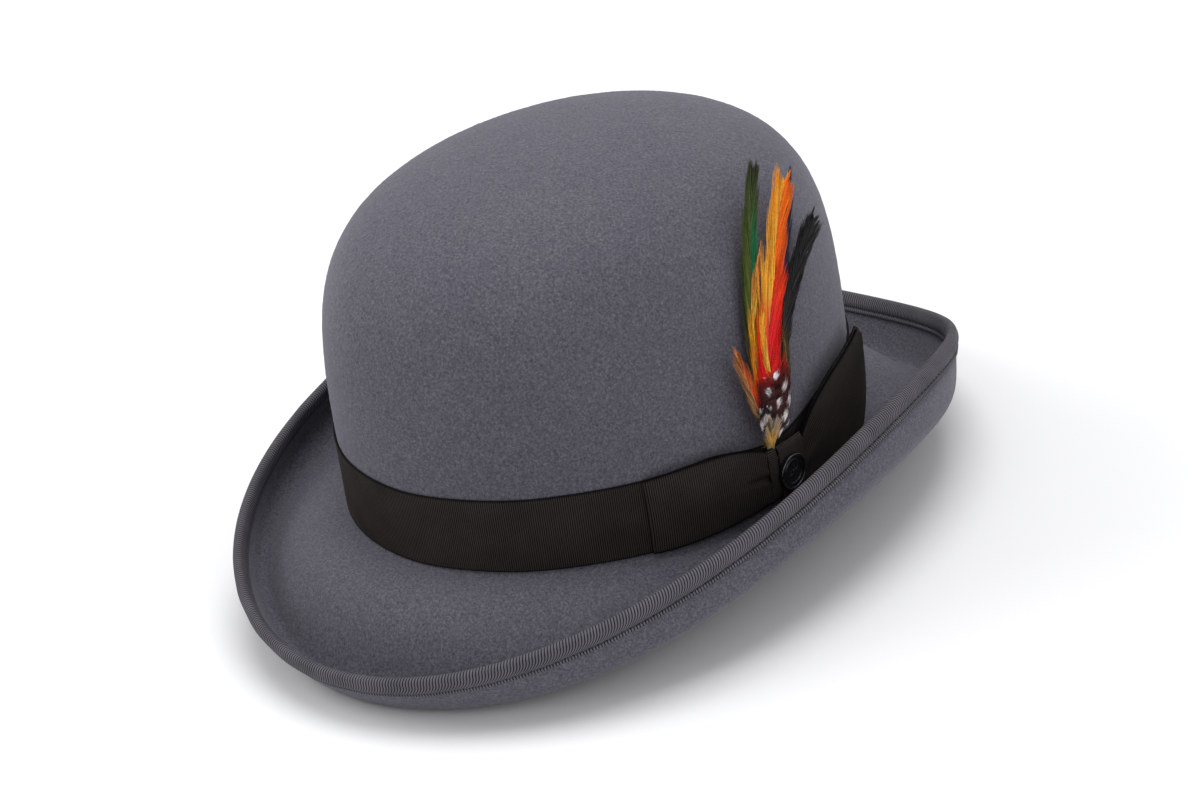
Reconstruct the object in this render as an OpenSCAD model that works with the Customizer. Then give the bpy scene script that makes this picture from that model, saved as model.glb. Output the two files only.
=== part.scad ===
// Stiff felt bowler hat with a ribbon band, side bow, pin badge and feather spray.
// +Z is up, the wearer faces -Y and the bow is on the wearer's left, +X.
// The origin is on the table, under the middle of the hat.

/* [Crown] */
// Half width of the crown's outside at the brim break
crown_half_w = 89; // [82:0.5:96]
// Half length of the crown's outside at the brim break
crown_half_l = 105; // [97:0.5:113]
// Height of the crown's walls and shoulder above the brim break
crown_h = 115; // [103:0.5:125]
// Extra height of the dome that the top rises to
crown_dome = 9; // [5:0.5:12]
// Squareness of the crown's side profile
crown_power = 4.9; // [4:0.1:5.4]
// How far the top of the crown leans back
crown_lean = 1; // [0:0.5:3]
// Rise of the brim break at the front, and its drop at the back
break_tilt = 4; // [0:0.5:5]
// Thickness of the felt
felt_t = 2.4; // [2:0.1:2.8]

/* [Brim] */
// Height of the brim break above the table
break_z = 28.9; // [24:0.1:34]
// Mean outward reach of the brim beyond the crown
reach = 37; // [33:0.5:41]
// How much less the brim reaches at the sides, and more at the front and back
reach_wave = 13.8; // [10:0.2:16]
// Mean height of the brim's edge above the break
edge_rise = 7.6; // [4:0.2:10]
// How much higher the edge rolls at the sides than at the front and back
edge_wave = 15.4; // [12:0.2:18]
// Second wave of the edge, which sharpens the side roll
edge_wave_2 = 2.3; // [0:0.1:3]
// Tilt of the edge from front to back
edge_tilt = 4.4; // [0:0.1:6]
// Lift of the edge behind the side rolls
edge_twist = 3.3; // [0:0.1:4]
// Mean slope at which the brim leaves the crown, in degrees
start_slope = -5; // [-8:0.5:0]
// How much steeper it leaves at the sides, in degrees
start_slope_wave = 12; // [6:0.5:14]
// Mean slope of the rolled edge, in degrees
roll_slope = 94; // [86:1:98]
// How much further the roll turns in at the sides, in degrees
roll_slope_wave = 32; // [20:1:36]
// Fullness of the brim near the crown
start_fullness = 0.8; // [0.6:0.05:0.9]
// Fullness of the roll
roll_fullness = 0.95; // [0.8:0.05:1]

/* [Ribbons] */
// Width of the hatband, measured up the crown
band_w = 31; // [26:0.5:36]
// How far the band's top edge is drawn down behind the bow, in mm
band_dip = 5.5; // [0:0.5:6]
// Thickness of the ribbon
ribbon_t = 0.6; // [0.4:0.1:0.8]
// Width of the edge binding on each side of the brim
binding_w = 6.5; // [5:0.5:9]
// Angle round the crown of the bow's fold, from the wearer's left
bow_fold_angle = -35.5; // [-40:0.5:-30]
// Angle round the crown of the knot's middle
knot_angle = -3.2; // [-5:0.1:-2]
// Width of the knot
knot_w = 13; // [12:0.5:14]
// Height of the knot's top above the break
knot_top = 25.6; // [25:0.1:28]
// How far the knot's face stands off the felt
knot_off = 6.4; // [5.8:0.1:7]

/* [Badge] */
// Radius of the badge's disc
badge_r = 6.7; // [5:0.1:7]
// Angle round the crown of the badge's middle
badge_angle = -4.2; // [-5:0.1:-3]
// Height of the badge's middle above the break
badge_height = 14.4; // [12:0.1:16]
// Thickness of the disc
badge_t = 1.2; // [0.8:0.1:1.6]
// Radius of the badge's post
post_r = 0.6; // [0.5:0.05:0.8]
// Radial clearance between the post and its hole in the knot
post_clear = 0.08; // [0.05:0.01:0.1]

/* [Feathers] */
// Radius of the bound quills that slide behind the bow
stem_r = 0.8; // [0.6:0.05:0.85]
// Angle round the crown where the quills sit
stem_angle = -6.5; // [-8:0.5:-5]
// Height of the stem's foot above the break
stem_foot = 6; // [4:1:10]
// Height of the stem's top above the break
stem_top = 34; // [33.5:0.5:36]
// Thickness of a feather's vane
vane_t = 0.35; // [0.3:0.05:0.4]

/* [Inside] */
// Height of the leather sweatband
sweat_h = 37; // [32:1:42]
// Thickness of the leather
leather_t = 1.2; // [0.8:0.1:1.4]
// Thickness of the satin lining
satin_t = 0.3; // [0.2:0.05:0.4]
// Radius of the reed in the sweatband's lower edge
reed_r = 0.9; // [0.6:0.1:1]

/* [Hidden] */

// Segments round the hat for the felt and what lies on it
segs = 64;
// Segments round the hat for the thin pieces inside
inner_segs = 48;
// Radius of the corner between crown and brim
break_r = 1.6;
// Gap left between pieces that are sewn or laid together
seam_gap = 0.15;
// Gap between pieces that move past each other
slide_gap = 0.3;
felt_color = [0.33, 0.32, 0.36];
ribbon_color = [0.12, 0.11, 0.11];

// --- small helpers ---
function unit(v) = v / norm(v);
function mix(a, b, f) = a + (b - a) * f;
function angles(n) = [for (j = [0 : n - 1]) 360 * j / n];
function steps(n) = [for (i = [0 : n - 1]) i / (n - 1)];

// --- the crown's oval ---
function oval_point(t, scale = 1) = [crown_half_w * scale * cos(t), crown_half_l * scale * sin(t)];
function oval_normal(t) = unit([cos(t) / crown_half_w, sin(t) / crown_half_l]);
function break_height(t) = -break_tilt * sin(t);

// A section point is [scale of the oval, reach beyond it, height above the break, normal].
// The normal points out of the crown and up from the brim.
function place(t, s, off) =
  let (p = oval_point(t, s[0]), n = oval_normal(t), d = s[1] + off * s[3][0], rise = min(1, s[2] / crown_h))
  [p[0] + d * n[0],
   p[1] + d * n[1] + crown_lean * rise,
   break_z + s[2] + break_height(t) * (s[1] > 0 ? 0 : 1 - rise) + off * s[3][1]];

// Section of the crown at f degrees from its base, 0, to its top, 90
function crown_section(t, f) =
  let (q = pow(pow(cos(f), crown_power) + pow(sin(f), crown_power), 1 / crown_power),
       k = cos(f) / q, rise = sin(f) / q,
       h = oval_point(t) * oval_normal(t),
       lay = pow(rise, crown_power - 1),
       n = unit([crown_h * pow(k, crown_power - 1) + 4 * crown_dome * k * (1 - k * k) * lay, h * lay]))
  [k, 0, crown_h * rise + crown_dome * pow(1 - k * k, 2), n];

// Section of the crown's wall at a height above the break
function wall_section(t, z) =
  let (rise = max(z, 0) / crown_h,
       k = pow(1 - pow(rise, crown_power), 1 / crown_power),
       n = unit([pow(k, crown_power - 1) / crown_half_w, pow(rise, crown_power - 1) / crown_h]))
  [k, 0, z, n];
function on_wall(t, z, off) = place(t, wall_section(t, z), off);

// --- the brim's curve ---
function brim_reach(t) = reach - reach_wave * cos(2 * t);
function edge_height(t) =
  edge_rise + edge_tilt * sin(t) + edge_wave * cos(2 * t)
  - edge_wave_2 * cos(4 * t) + edge_twist * sin(3 * t);
function brim_handles(t) =
  let (d = brim_reach(t),
       a = start_slope - start_slope_wave * cos(2 * t),
       e = roll_slope + roll_slope_wave * cos(2 * t),
       p0 = [0, break_height(t)],
       p3 = [d, edge_height(t)])
  [p0, p0 + start_fullness * d * [cos(a), sin(a)], p3 - roll_fullness * d * [cos(e), sin(e)], p3];
function bezier(p, u) =
  pow(1 - u, 3) * p[0] + 3 * pow(1 - u, 2) * u * p[1] + 3 * (1 - u) * u * u * p[2] + pow(u, 3) * p[3];
function bezier_tangent(p, u) =
  unit(pow(1 - u, 2) * (p[1] - p[0]) + 2 * (1 - u) * u * (p[2] - p[1]) + u * u * (p[3] - p[2]));
// Section of the brim at u from the crown, 0, to the edge, 1; beyond 1 it runs on straight
function brim_section(t, u) =
  let (p = brim_handles(t), c = min(u, 1), g = bezier_tangent(p, c),
       b = bezier(p, c) + max(u - 1, 0) * g)
  [1, max(b[0], 0.001), b[1], [-g[1], g[0]]];
// How far back from the edge, in u, a width of ribbon reaches
function edge_share(t, w) = w / (3 * roll_fullness * brim_reach(t));

// Rounded corner between the crown's wall and the brim
corner_u = 0.05;
function corner_section(t, f) =
  let (b = bezier(brim_handles(t), corner_u),
       c = [0, break_height(t)],
       a = c + [0, break_r],
       p = pow(1 - f, 2) * a + 2 * f * (1 - f) * c + f * f * b,
       g = unit((1 - f) * (c - a) + f * (b - c)))
  [1, max(p[0], 0.001), p[1], [-g[1], g[0]]];

// --- closed skins between two grids of points ---
// grid_a is the face that the normals point out of; rows run along, columns run round.
function flat_list(grid) = [for (row = grid) each row];
module skin(grid_a, grid_b, ring = true, capped = false) {
  n = len(grid_a);
  m = len(grid_a[0]);
  cols = ring ? m : m - 1;
  b0 = n * m;
  tops = [for (g = [grid_a, grid_b]) [for (k = [0 : 2]) mean([for (p = g[0]) p[k]])]];
  quads_a = [for (i = [0 : n - 2], j = [0 : cols - 1])
    let (a = i * m + j, b = i * m + (j + 1) % m) each [[a, b, b + m], [a, b + m, a + m]]];
  quads_b = [for (f = quads_a) [f[2] + b0, f[1] + b0, f[0] + b0]];
  last = (n - 1) * m;
  edge_end = [for (j = [0 : cols - 1]) let (a = last + j, b = last + (j + 1) % m)
    each [[a, b, b + b0], [a, b + b0, a + b0]]];
  edge_start = capped
    ? [for (j = [0 : cols - 1]) let (b = (j + 1) % m) each [[2 * b0, b, j], [2 * b0 + 1, j + b0, b + b0]]]
    : [for (j = [0 : cols - 1]) let (b = (j + 1) % m) each [[b, j, j + b0], [b, j + b0, b + b0]]];
  sides = ring ? [] : [for (i = [0 : n - 2])
    let (a = i * m, z = i * m + m - 1)
    each [[a, a + m, a + m + b0], [a, a + m + b0, a + b0],
          [z + m, z, z + b0], [z + m, z + b0, z + m + b0]]];
  points = concat(flat_list(grid_a), flat_list(grid_b), capped ? tops : []);
  polyhedron(points, concat(quads_a, quads_b, edge_end, edge_start, sides), convexity = 8);
}
function mean(v) = v * [for (x = v) 1 / len(v)];

// A strip on the crown's wall: f(u, v) gives [angle, height, offset of the middle]
module wall_strip(f, nu, nv, t) {
  grid = function(side) [for (v = steps(nv)) [for (u = steps(nu))
    let (p = f(u, v)) on_wall(p[0], p[1], p[2] + side * t / 2)]];
  skin(grid(-1), grid(1), ring = false);
}

// A tube that follows a closed path round the hat
module ring_cord(path, r, sides = 5) {
  n = len(path);
  grid = [for (i = [0 : n - 1])
    let (g = unit(path[(i + 1) % n] - path[(i + n - 1) % n]),
         a = unit(cross(g, [0, 0, 1])), b = cross(g, a))
    [for (k = [0 : sides - 1]) path[i] + r * (cos(360 * k / sides) * a + sin(360 * k / sides) * b)]];
  faces = [for (i = [0 : n - 1], k = [0 : sides - 1])
    let (a = i * sides + k, b = i * sides + (k + 1) % sides,
         c = ((i + 1) % n) * sides + k, d = ((i + 1) % n) * sides + (k + 1) % sides)
    each [[a, d, b], [a, c, d]]];
  polyhedron(flat_list(grid), faces, convexity = 6);
}

// --- felt ---
crown_steps = [for (f = [87, 80, 73, 66, 60, 55, 50, 46, 42, 38, 33, 26, 16]) f];
corner_steps = [0, 0.35, 0.7];
brim_steps = [0.05, 0.14, 0.24, 0.34, 0.44, 0.53, 0.61, 0.68, 0.75, 0.81, 0.87, 0.93, 1];
function felt_sections(t) = concat(
  [for (f = crown_steps) crown_section(t, f)],
  [for (f = corner_steps) corner_section(t, f)],
  [for (u = brim_steps) brim_section(t, u)]);
function turn(grid) = [for (i = [0 : len(grid[0]) - 1]) [for (row = grid) row[i]]];
module felt_body() {
  color(felt_color) {
    face = function(off) turn([for (t = angles(segs)) [for (s = felt_sections(t)) place(t, s, off)]]);
    skin(face(-felt_t), face(0), capped = true);
  }
}

// Ribbon folded over the brim's edge
function binding_face(t, gap) =
  let (w = edge_share(t, binding_w), top = gap, under = -felt_t - gap)
  concat(
    [for (f = [1, 0.5, 0]) place(t, brim_section(t, 1 - w * f), top)],
    [for (f = [0.25, 0.75]) place(t, brim_section(t, 1 + gap), mix(top, under, f))],
    [for (f = [0, 0.5, 1]) place(t, brim_section(t, 1 - w * f), under)]);
module brim_binding() {
  color([0.3, 0.29, 0.31]) {
    face = function(gap) turn([for (t = angles(segs)) binding_face(t, gap)]);
    skin(face(seam_gap), face(seam_gap + ribbon_t));
  }
}

// One line of thread on each side of the brim holds the binding
stitch_r = 0.2;
stitch_inset = 4.5;
module binding_stitching() {
  color([0.2, 0.19, 0.2]) {
    out = seam_gap + ribbon_t + stitch_r + 0.05;
    for (off = [out, -felt_t - out])
      ring_cord([for (t = angles(segs)) place(t, brim_section(t, 1 - edge_share(t, stitch_inset)), off)],
                stitch_r, 4);
  }
}

// --- ribbon round the crown ---
band_foot = 1.8;
// Height of the band's top edge, which is drawn down behind the bow
band_dip_angle = -4;
band_dip_half = 18;
function band_top(t) =
  let (d = ((t > 180 ? t - 360 : t) - band_dip_angle) / band_dip_half)
  band_w - band_dip * pow(max(0, 1 - d * d), 2);
module hatband() {
  color(ribbon_color) {
    face = function(off) [for (v = [0, 0.35, 0.7, 1])
      [for (t = angles(segs)) on_wall(t, mix(band_foot, band_top(t), v), off)]];
    skin(face(seam_gap), face(seam_gap + ribbon_t));
  }
}

// --- bow ---
// The backing leaves a pocket behind the knot for the feathers' quills.
mm_per_degree = crown_half_l * PI / 180;
band_face = seam_gap + ribbon_t;
pocket_off = band_face + 2 * slide_gap + 2 * stem_r;
backing_ends = [-30, 20];
module bow_backing() {
  color(ribbon_color)
    wall_strip(function(u, v)
      let (t = mix(backing_ends[0], backing_ends[1], u),
           near = max(0, 1 - pow((t - stem_angle) / 14, 2)))
      [t, mix(4, 24.5, v), mix(band_face + 0.5, pocket_off + ribbon_t, near)], 14, 3, ribbon_t);
}

knot_half_angle = knot_w / 2 / mm_per_degree;
loop_t = 1;
loop_off = pocket_off + 1.5 * ribbon_t + seam_gap + loop_t / 2 + 0.3;
clutch_r = 2.4;
loop_gap_angle = (clutch_r + 0.5) / mm_per_degree;
module bow_front_loop() {
  end = badge_angle - loop_gap_angle;
  color(ribbon_color)
    wall_strip(function(u, v)
      let (top = 31.6 + 1.2 * sin(180 * u) - 10.5 * pow(u, 4), foot = 2 + 4.5 * u * u)
      [mix(bow_fold_angle, end, u), mix(foot, top, v),
       mix(2.4, loop_off, pow(u, 0.6)) + sin(180 * u) * sin(180 * v)], 12, 5, loop_t);
}
module bow_rear_tail() {
  start = badge_angle + loop_gap_angle;
  color(ribbon_color)
    wall_strip(function(u, v)
      let (top = 13.8 + 26.7 * (1 - pow(1 - u, 4.5)), foot = 6 - 4 * u,
           t = start + u * (mix(28, 31, v) - start + 12 * sin(180 * v)))
      [t, mix(foot, top, v), loop_off + 1.0 * sin(180 * u)], 14, 5, loop_t);
}

// The knot is a ribbon wrapped over the bow, open at the back.
// Its section is a bracket: [height, offset] down its outer face.
knot_back = pocket_off + 1.5 * ribbon_t + seam_gap;
knot_foot = 2;
function knot_section(inset) =
  let (foot = knot_foot + inset, top = knot_top - inset, front = knot_off - inset,
       low = mix(knot_back, front, 0.45), high = mix(knot_back, front, 0.85))
  [[top - 1, knot_back], [top, low], [top - 1.6, high], [top - 6, front], [mix(foot, top, 0.5), front],
   [foot + 6, front], [foot + 1.6, high], [foot, low], [foot + 1, knot_back]];
module bow_knot() {
  face = function(inset) [for (u = steps(5))
    let (t = knot_angle + mix(-knot_half_angle, knot_half_angle, u))
    [for (p = knot_section(inset)) on_wall(t, p[0], p[1])]];
  color(ribbon_color) difference() {
    skin(face(0), face(ribbon_t), ring = false);
    on_badge_axis() translate([0, 0, -4]) cylinder(h = 8, r = post_r + post_clear, $fn = 32);
  }
}
// A narrow fold of ribbon lies on the loop beside the knot.
strip_angle = 2.2;
module bow_knot_strip() {
  end = knot_angle - knot_half_angle - 0.3;
  color(ribbon_color)
    wall_strip(function(u, v) [mix(end - strip_angle, end, u), mix(5, 25.6, v), knot_off - 0.45], 4, 6, ribbon_t);
}

// --- badge ---
// Axis of the badge's post, out through the knot's face; z is 0 on that face.
module on_badge_axis() {
  n = oval_normal(badge_angle);
  translate(on_wall(badge_angle, badge_height, knot_off)) rotate([0, 90, atan2(n[1], n[0])]) children();
}
badge_back = 0.3;
rim_w = 0.9;
rim_h = 0.6;
module badge_disc() {
  color([0.13, 0.13, 0.14]) on_badge_axis() translate([0, 0, badge_back])
    cylinder(h = badge_t, r = badge_r - rim_w, $fn = 64);
}
module badge_rim() {
  color([0.2, 0.2, 0.21]) on_badge_axis() translate([0, 0, badge_back])
    rotate_extrude($fn = 64) translate([badge_r - rim_w, 0]) {
      square([rim_w, badge_t + rim_h / 2]);
      translate([rim_w / 2, badge_t + rim_h / 2]) circle(r = rim_w / 2, $fn = 24);
    }
}
module badge_boss() {
  color([0.2, 0.2, 0.21]) on_badge_axis() translate([0, 0, badge_back + badge_t])
    rotate_extrude($fn = 64) union() {
      translate([3.4, 0]) square([0.6, 0.35]);
      square([1.8, 0.45]);
    }
}
clutch_t = 1.1;
clutch_back = -(knot_off - knot_back) + 0.15;
module badge_post() {
  color([0.5, 0.5, 0.52]) on_badge_axis() translate([0, 0, clutch_back])
    cylinder(h = badge_back - clutch_back, r = post_r, $fn = 32);
}
module badge_clutch() {
  color([0.6, 0.55, 0.3]) on_badge_axis() translate([0, 0, clutch_back])
    rotate_extrude($fn = 48) translate([post_r, 0]) square([clutch_r - post_r, clutch_t]);
}

// --- feathers ---
stem_off = band_face + slide_gap + stem_r;
module feather_stem() {
  p = on_wall(stem_angle, 0, stem_off);
  color([0.75, 0.7, 0.6]) translate([p[0], p[1], p[2] + stem_foot])
    cylinder(h = stem_top - stem_foot, r = stem_r, $fn = 24);
}
tie_r = 0.3;
module feather_tie() {
  p = on_wall(stem_angle, 0, stem_off);
  color([0.25, 0.2, 0.15]) for (k = [0 : 2])
    translate([p[0], p[1], p[2] + band_w + 0.9 + 0.7 * k])
      rotate_extrude($fn = 32) translate([stem_r + tie_r + 0.05, 0]) circle(r = tie_r, $fn = 16);
}

// Each vane's root, control point and tip are [back from the middle, up from the break].
// Every vane lies in a layer of its own, counted outwards from the crown, and all layers
// lean in over the crown by the same curve, so none touches another.
root_x = 91.4;
layer_step = 0.5;
lean_start = 40;
lean_top = 15;
function layer_x(k, z) = root_x + k * layer_step - lean_top * pow(max(0, z - lean_start) / 80, 2);
function vane_width(u, w) = w * (u < 0.8 ? 0.35 + 0.65 * sin(min(90, 200 * u)) : mix(1, 0.3, (u - 0.8) / 0.2));
module vane(shade, k, root, control, tip, w, rows = 9) {
  spine = [for (u = steps(rows)) pow(1 - u, 2) * root + 2 * u * (1 - u) * control + u * u * tip];
  across = [for (i = [0 : rows - 1])
    let (g = unit(spine[min(i + 1, rows - 1)] - spine[max(i - 1, 0)])) [-g[1], g[0]]];
  face = function(off) [for (i = [0 : rows - 1]) [for (side = [-0.5, 0.5])
    let (p = spine[i] + side * vane_width(i / (rows - 1), w) * across[i])
    [layer_x(k, p[1]) + off, p[0], p[1] + break_z]]];
  color(shade) skin(face(vane_t / 2), face(-vane_t / 2), ring = false);
}
module blue_feather() vane([0.1, 0.12, 0.35], 0, [-9, 31], [4, 75.5], [33.5, 113], 3);
module black_feather() vane([0.08, 0.08, 0.08], 1, [-9, 31], [-1.5, 72], [36.5, 94], 8);
module olive_feather() vane([0.3, 0.3, 0.12], 2, [-13.5, 31], [-22, 81], [10.5, 117.5], 5);
module side_hackle() vane([0.35, 0.28, 0.15], 3, [-8, 31], [1.5, 45], [2.5, 66.5], 3);
module green_feather() vane([0.1, 0.4, 0.2], 4, [-14, 31], [-21, 82.5], [14, 120], 6);
module yellow_feather() vane([0.95, 0.65, 0.15], 5, [-15, 33], [-22.5, 69.5], [1, 95.5], 5);
module orange_feather() vane([0.95, 0.5, 0.1], 6, [-12.5, 31], [-10, 80], [26, 113], 9);
module rust_hackle() vane([0.65, 0.3, 0.12], 7, [-16, 31], [-23.5, 51], [-26, 71.5], 6);
module red_feather() vane([0.8, 0.08, 0.06], 8, [-14, 32], [-16, 63], [3, 85.5], 14);
module guinea_feather() vane([0.2, 0.05, 0.05], 9.5, [-14, 30.5], [-12, 43], [-11.5, 57], 16.5);
module barred_feather() vane([0.5, 0.48, 0.45], 10.5, [-18, 33], [-20.5, 40], [-19.5, 48], 6);
module buff_tuft() vane([0.7, 0.5, 0.2], 11.5, [-18, 29], [-18.5, 34], [-17, 40], 11, 5);

// --- inside the crown ---
// Offsets here count inwards from the felt's outside.
lining_off = felt_t + 0.3;
module sweatband() {
  color([0.45, 0.3, 0.18]) {
    face = function(inner) [for (v = steps(4)) [for (t = angles(segs))
      on_wall(t, mix(-0.3, sweat_h, v), -felt_t - 0.9 - 2 * v - inner)]];
    skin(face(leather_t), face(0));
  }
}
module sweatband_reed() {
  color([0.85, 0.83, 0.78])
    ring_cord([for (t = angles(segs)) on_wall(t, 0, -felt_t - 1.3) - [0, 0, reed_r + 0.6]], reed_r, 6);
}
// Angle round the crown of the sweatband's join, at the back
join_angle = 90;
module inner_patch(t0, t1, z0, z1, inset, t) {
  wall_strip(function(u, v) [mix(t0, t1, u), mix(z0, z1, v),
    -felt_t - 0.9 - 2 * (mix(z0, z1, v) + 0.3) / (sweat_h + 0.3) - leather_t - inset - t / 2], 5, 3, t);
}
module sweatband_seam_tape() {
  color(ribbon_color) inner_patch(join_angle - 3.4, join_angle + 3.4, 1, sweat_h - 1, seam_gap, 0.3);
}
// Two loops of a flat ribbon bow cover the sweatband's join.
module sweatband_bow() {
  loop = [0.3, 7];
  color(ribbon_color) for (ends = [loop, [-loop[1], -loop[0]]]) wall_strip(function(u, v)
    let (a = mix(ends[0], ends[1], u), half_h = mix(1, 3.4, abs(a) / loop[1]))
    [join_angle + a, sweat_h - 8 + mix(-1, 1, v) * half_h,
     -felt_t - 2.9 - leather_t - seam_gap - 1.6], 3, 2, 0.5);
}
module size_label() {
  color([0.85, 0.85, 0.82]) inner_patch(join_angle + 12, join_angle + 22, 12, 24, seam_gap, 0.25);
}
lining_foot = 6;
module lining_side() {
  color([0.16, 0.14, 0.16]) {
    foot = [for (t = angles(inner_segs)) wall_section(t, lining_foot)];
    face = function(off) turn([for (t = angles(inner_segs))
      concat([place(t, wall_section(t, lining_foot), -off)],
             [for (f = [20, 32, 38, 43, 48]) place(t, crown_section(t, f), -off)])]);
    skin(face(lining_off + satin_t), face(lining_off));
  }
}
tip_off = felt_t + 2.6;
module lining_tip() {
  color([0.18, 0.16, 0.18]) {
    face = function(off) turn([for (t = angles(inner_segs))
      [for (f = [86, 74, 64, 57, 51]) place(t, crown_section(t, f), -off)]]);
    skin(face(tip_off + satin_t), face(tip_off), capped = true);
  }
}
piping_r = 0.6;
module lining_piping() {
  color([0.1, 0.1, 0.1])
    ring_cord([for (t = angles(inner_segs))
      place(t, crown_section(t, 48.5), -(lining_off + satin_t + piping_r + 0.3))], piping_r, 5);
}
patch_size = [64, 48];
module tip_patch() {
  z = break_z + crown_h + crown_dome - tip_off - satin_t - 2.2;
  color([0.9, 0.9, 0.92, 0.4]) translate([0, crown_lean, z])
    linear_extrude(0.3) polygon([[patch_size[1] / 2, 0], [0, patch_size[0] / 2],
                                 [-patch_size[1] / 2, 0], [0, -patch_size[0] / 2]]);
}

felt_body();
brim_binding();
binding_stitching();
hatband();
bow_backing();
bow_front_loop();
bow_rear_tail();
bow_knot();
bow_knot_strip();
badge_disc();
badge_rim();
badge_boss();
badge_post();
badge_clutch();
feather_stem();
feather_tie();
green_feather();
olive_feather();
orange_feather();
yellow_feather();
red_feather();
blue_feather();
black_feather();
rust_hackle();
side_hackle();
guinea_feather();
barred_feather();
buff_tuft();
sweatband();
sweatband_reed();
sweatband_seam_tape();
sweatband_bow();
size_label();
lining_side();
lining_tip();
lining_piping();
tip_patch();
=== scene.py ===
import math
import bpy
import numpy as np
from mathutils import Matrix, Vector, noise


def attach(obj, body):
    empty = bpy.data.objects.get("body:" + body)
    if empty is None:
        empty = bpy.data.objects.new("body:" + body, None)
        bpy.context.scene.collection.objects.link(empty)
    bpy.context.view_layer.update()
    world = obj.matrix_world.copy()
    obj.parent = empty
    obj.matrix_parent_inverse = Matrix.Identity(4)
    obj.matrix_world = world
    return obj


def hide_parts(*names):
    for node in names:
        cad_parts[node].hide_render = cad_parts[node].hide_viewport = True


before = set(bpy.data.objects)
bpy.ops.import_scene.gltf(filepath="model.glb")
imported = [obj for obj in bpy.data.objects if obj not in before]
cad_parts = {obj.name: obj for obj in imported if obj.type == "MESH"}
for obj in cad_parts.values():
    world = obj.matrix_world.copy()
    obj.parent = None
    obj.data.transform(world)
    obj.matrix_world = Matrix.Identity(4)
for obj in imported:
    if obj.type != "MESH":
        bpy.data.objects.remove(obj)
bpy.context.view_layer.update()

MM = 0.001
RNG = np.random.default_rng(41)
TURN = 2 * np.pi

# ---------------------------------------------------------------- the hat's form, in mm
HALF_W, HALF_L, CROWN_H, DOME, POWER, LEAN, TILT = 89.0, 105.0, 115.0, 9.0, 4.9, 1.0, 4.0
FELT_T, BREAK_Z, BREAK_R = 2.4, 28.9, 1.6
REACH, REACH_WAVE = 37.0, 13.8
EDGE_RISE, EDGE_WAVE, EDGE_WAVE_2, EDGE_TILT, EDGE_TWIST = 7.6, 15.4, 2.3, 4.4, 3.3
START_SLOPE, START_WAVE, ROLL_SLOPE, ROLL_WAVE = -5.0, 12.0, 94.0, 32.0
START_FULL, ROLL_FULL, CORNER_U = 0.8, 0.95, 0.05
MM_PER_DEG = HALF_L * math.pi / 180
BARE_TONE = 0.7


def sind(a):
    return np.sin(np.radians(a))


def cosd(a):
    return np.cos(np.radians(a))


def mix(a, b, f):
    return a + (b - a) * f


def smooth(a, b, x):
    f = np.clip((x - a) / (b - a), 0, 1)
    return f * f * (3 - 2 * f)


def unit(v):
    return v / np.maximum(np.linalg.norm(v, axis=-1, keepdims=True), 1e-9)


def round_angles(n):
    return np.arange(n) / n * 360


def oval_normal(t):
    return unit(np.stack([cosd(t) / HALF_W, sind(t) / HALF_L], -1))


def place(t, k, d, z, nr, nz, off, on_brim=False):
    n = oval_normal(t)
    dd = d + off * nr
    rise = np.minimum(1, z / CROWN_H)
    keep = 0 if on_brim else 1 - rise
    return np.stack([HALF_W * k * cosd(t) + dd * n[..., 0],
                     HALF_L * k * sind(t) + dd * n[..., 1] + LEAN * rise,
                     BREAK_Z + z - TILT * sind(t) * keep + off * nz], -1)


def crown(t, f, off):
    """The crown's face at f degrees from its base to its top."""
    t, f, off = np.broadcast_arrays(np.asarray(t, float), f, off)
    c, s = np.abs(cosd(f)), np.abs(sind(f))
    q = (c ** POWER + s ** POWER) ** (1 / POWER)
    k, rise = c / q, s / q
    o = oval_normal(t)
    h = HALF_W * cosd(t) * o[..., 0] + HALF_L * sind(t) * o[..., 1]
    lay = rise ** (POWER - 1)
    n = unit(np.stack([CROWN_H * k ** (POWER - 1) + 4 * DOME * k * (1 - k * k) * lay, h * lay], -1))
    return place(t, k, 0, CROWN_H * rise + DOME * (1 - k * k) ** 2, n[..., 0], n[..., 1], off)


def wall(t, z, off):
    """The crown's wall at a height above the brim break."""
    t, z, off = np.broadcast_arrays(np.asarray(t, float), z, off)
    rise = np.maximum(z, 0) / CROWN_H
    k = (1 - rise ** POWER) ** (1 / POWER)
    n = unit(np.stack([k ** (POWER - 1) / HALF_W, rise ** (POWER - 1) / CROWN_H], -1))
    return place(t, k, 0, z, n[..., 0], n[..., 1], off)


def brim_handles(t):
    d = REACH - REACH_WAVE * cosd(2 * t)
    a = START_SLOPE - START_WAVE * cosd(2 * t)
    e = ROLL_SLOPE + ROLL_WAVE * cosd(2 * t)
    edge = (EDGE_RISE + EDGE_TILT * sind(t) + EDGE_WAVE * cosd(2 * t)
            - EDGE_WAVE_2 * cosd(4 * t) + EDGE_TWIST * sind(3 * t))
    p0 = np.stack([0 * t, -TILT * sind(t)], -1)
    p3 = np.stack([d, edge], -1)
    p1 = p0 + START_FULL * d[..., None] * np.stack([cosd(a), sind(a)], -1)
    p2 = p3 - ROLL_FULL * d[..., None] * np.stack([cosd(e), sind(e)], -1)
    return p0, p1, p2, p3


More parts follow.
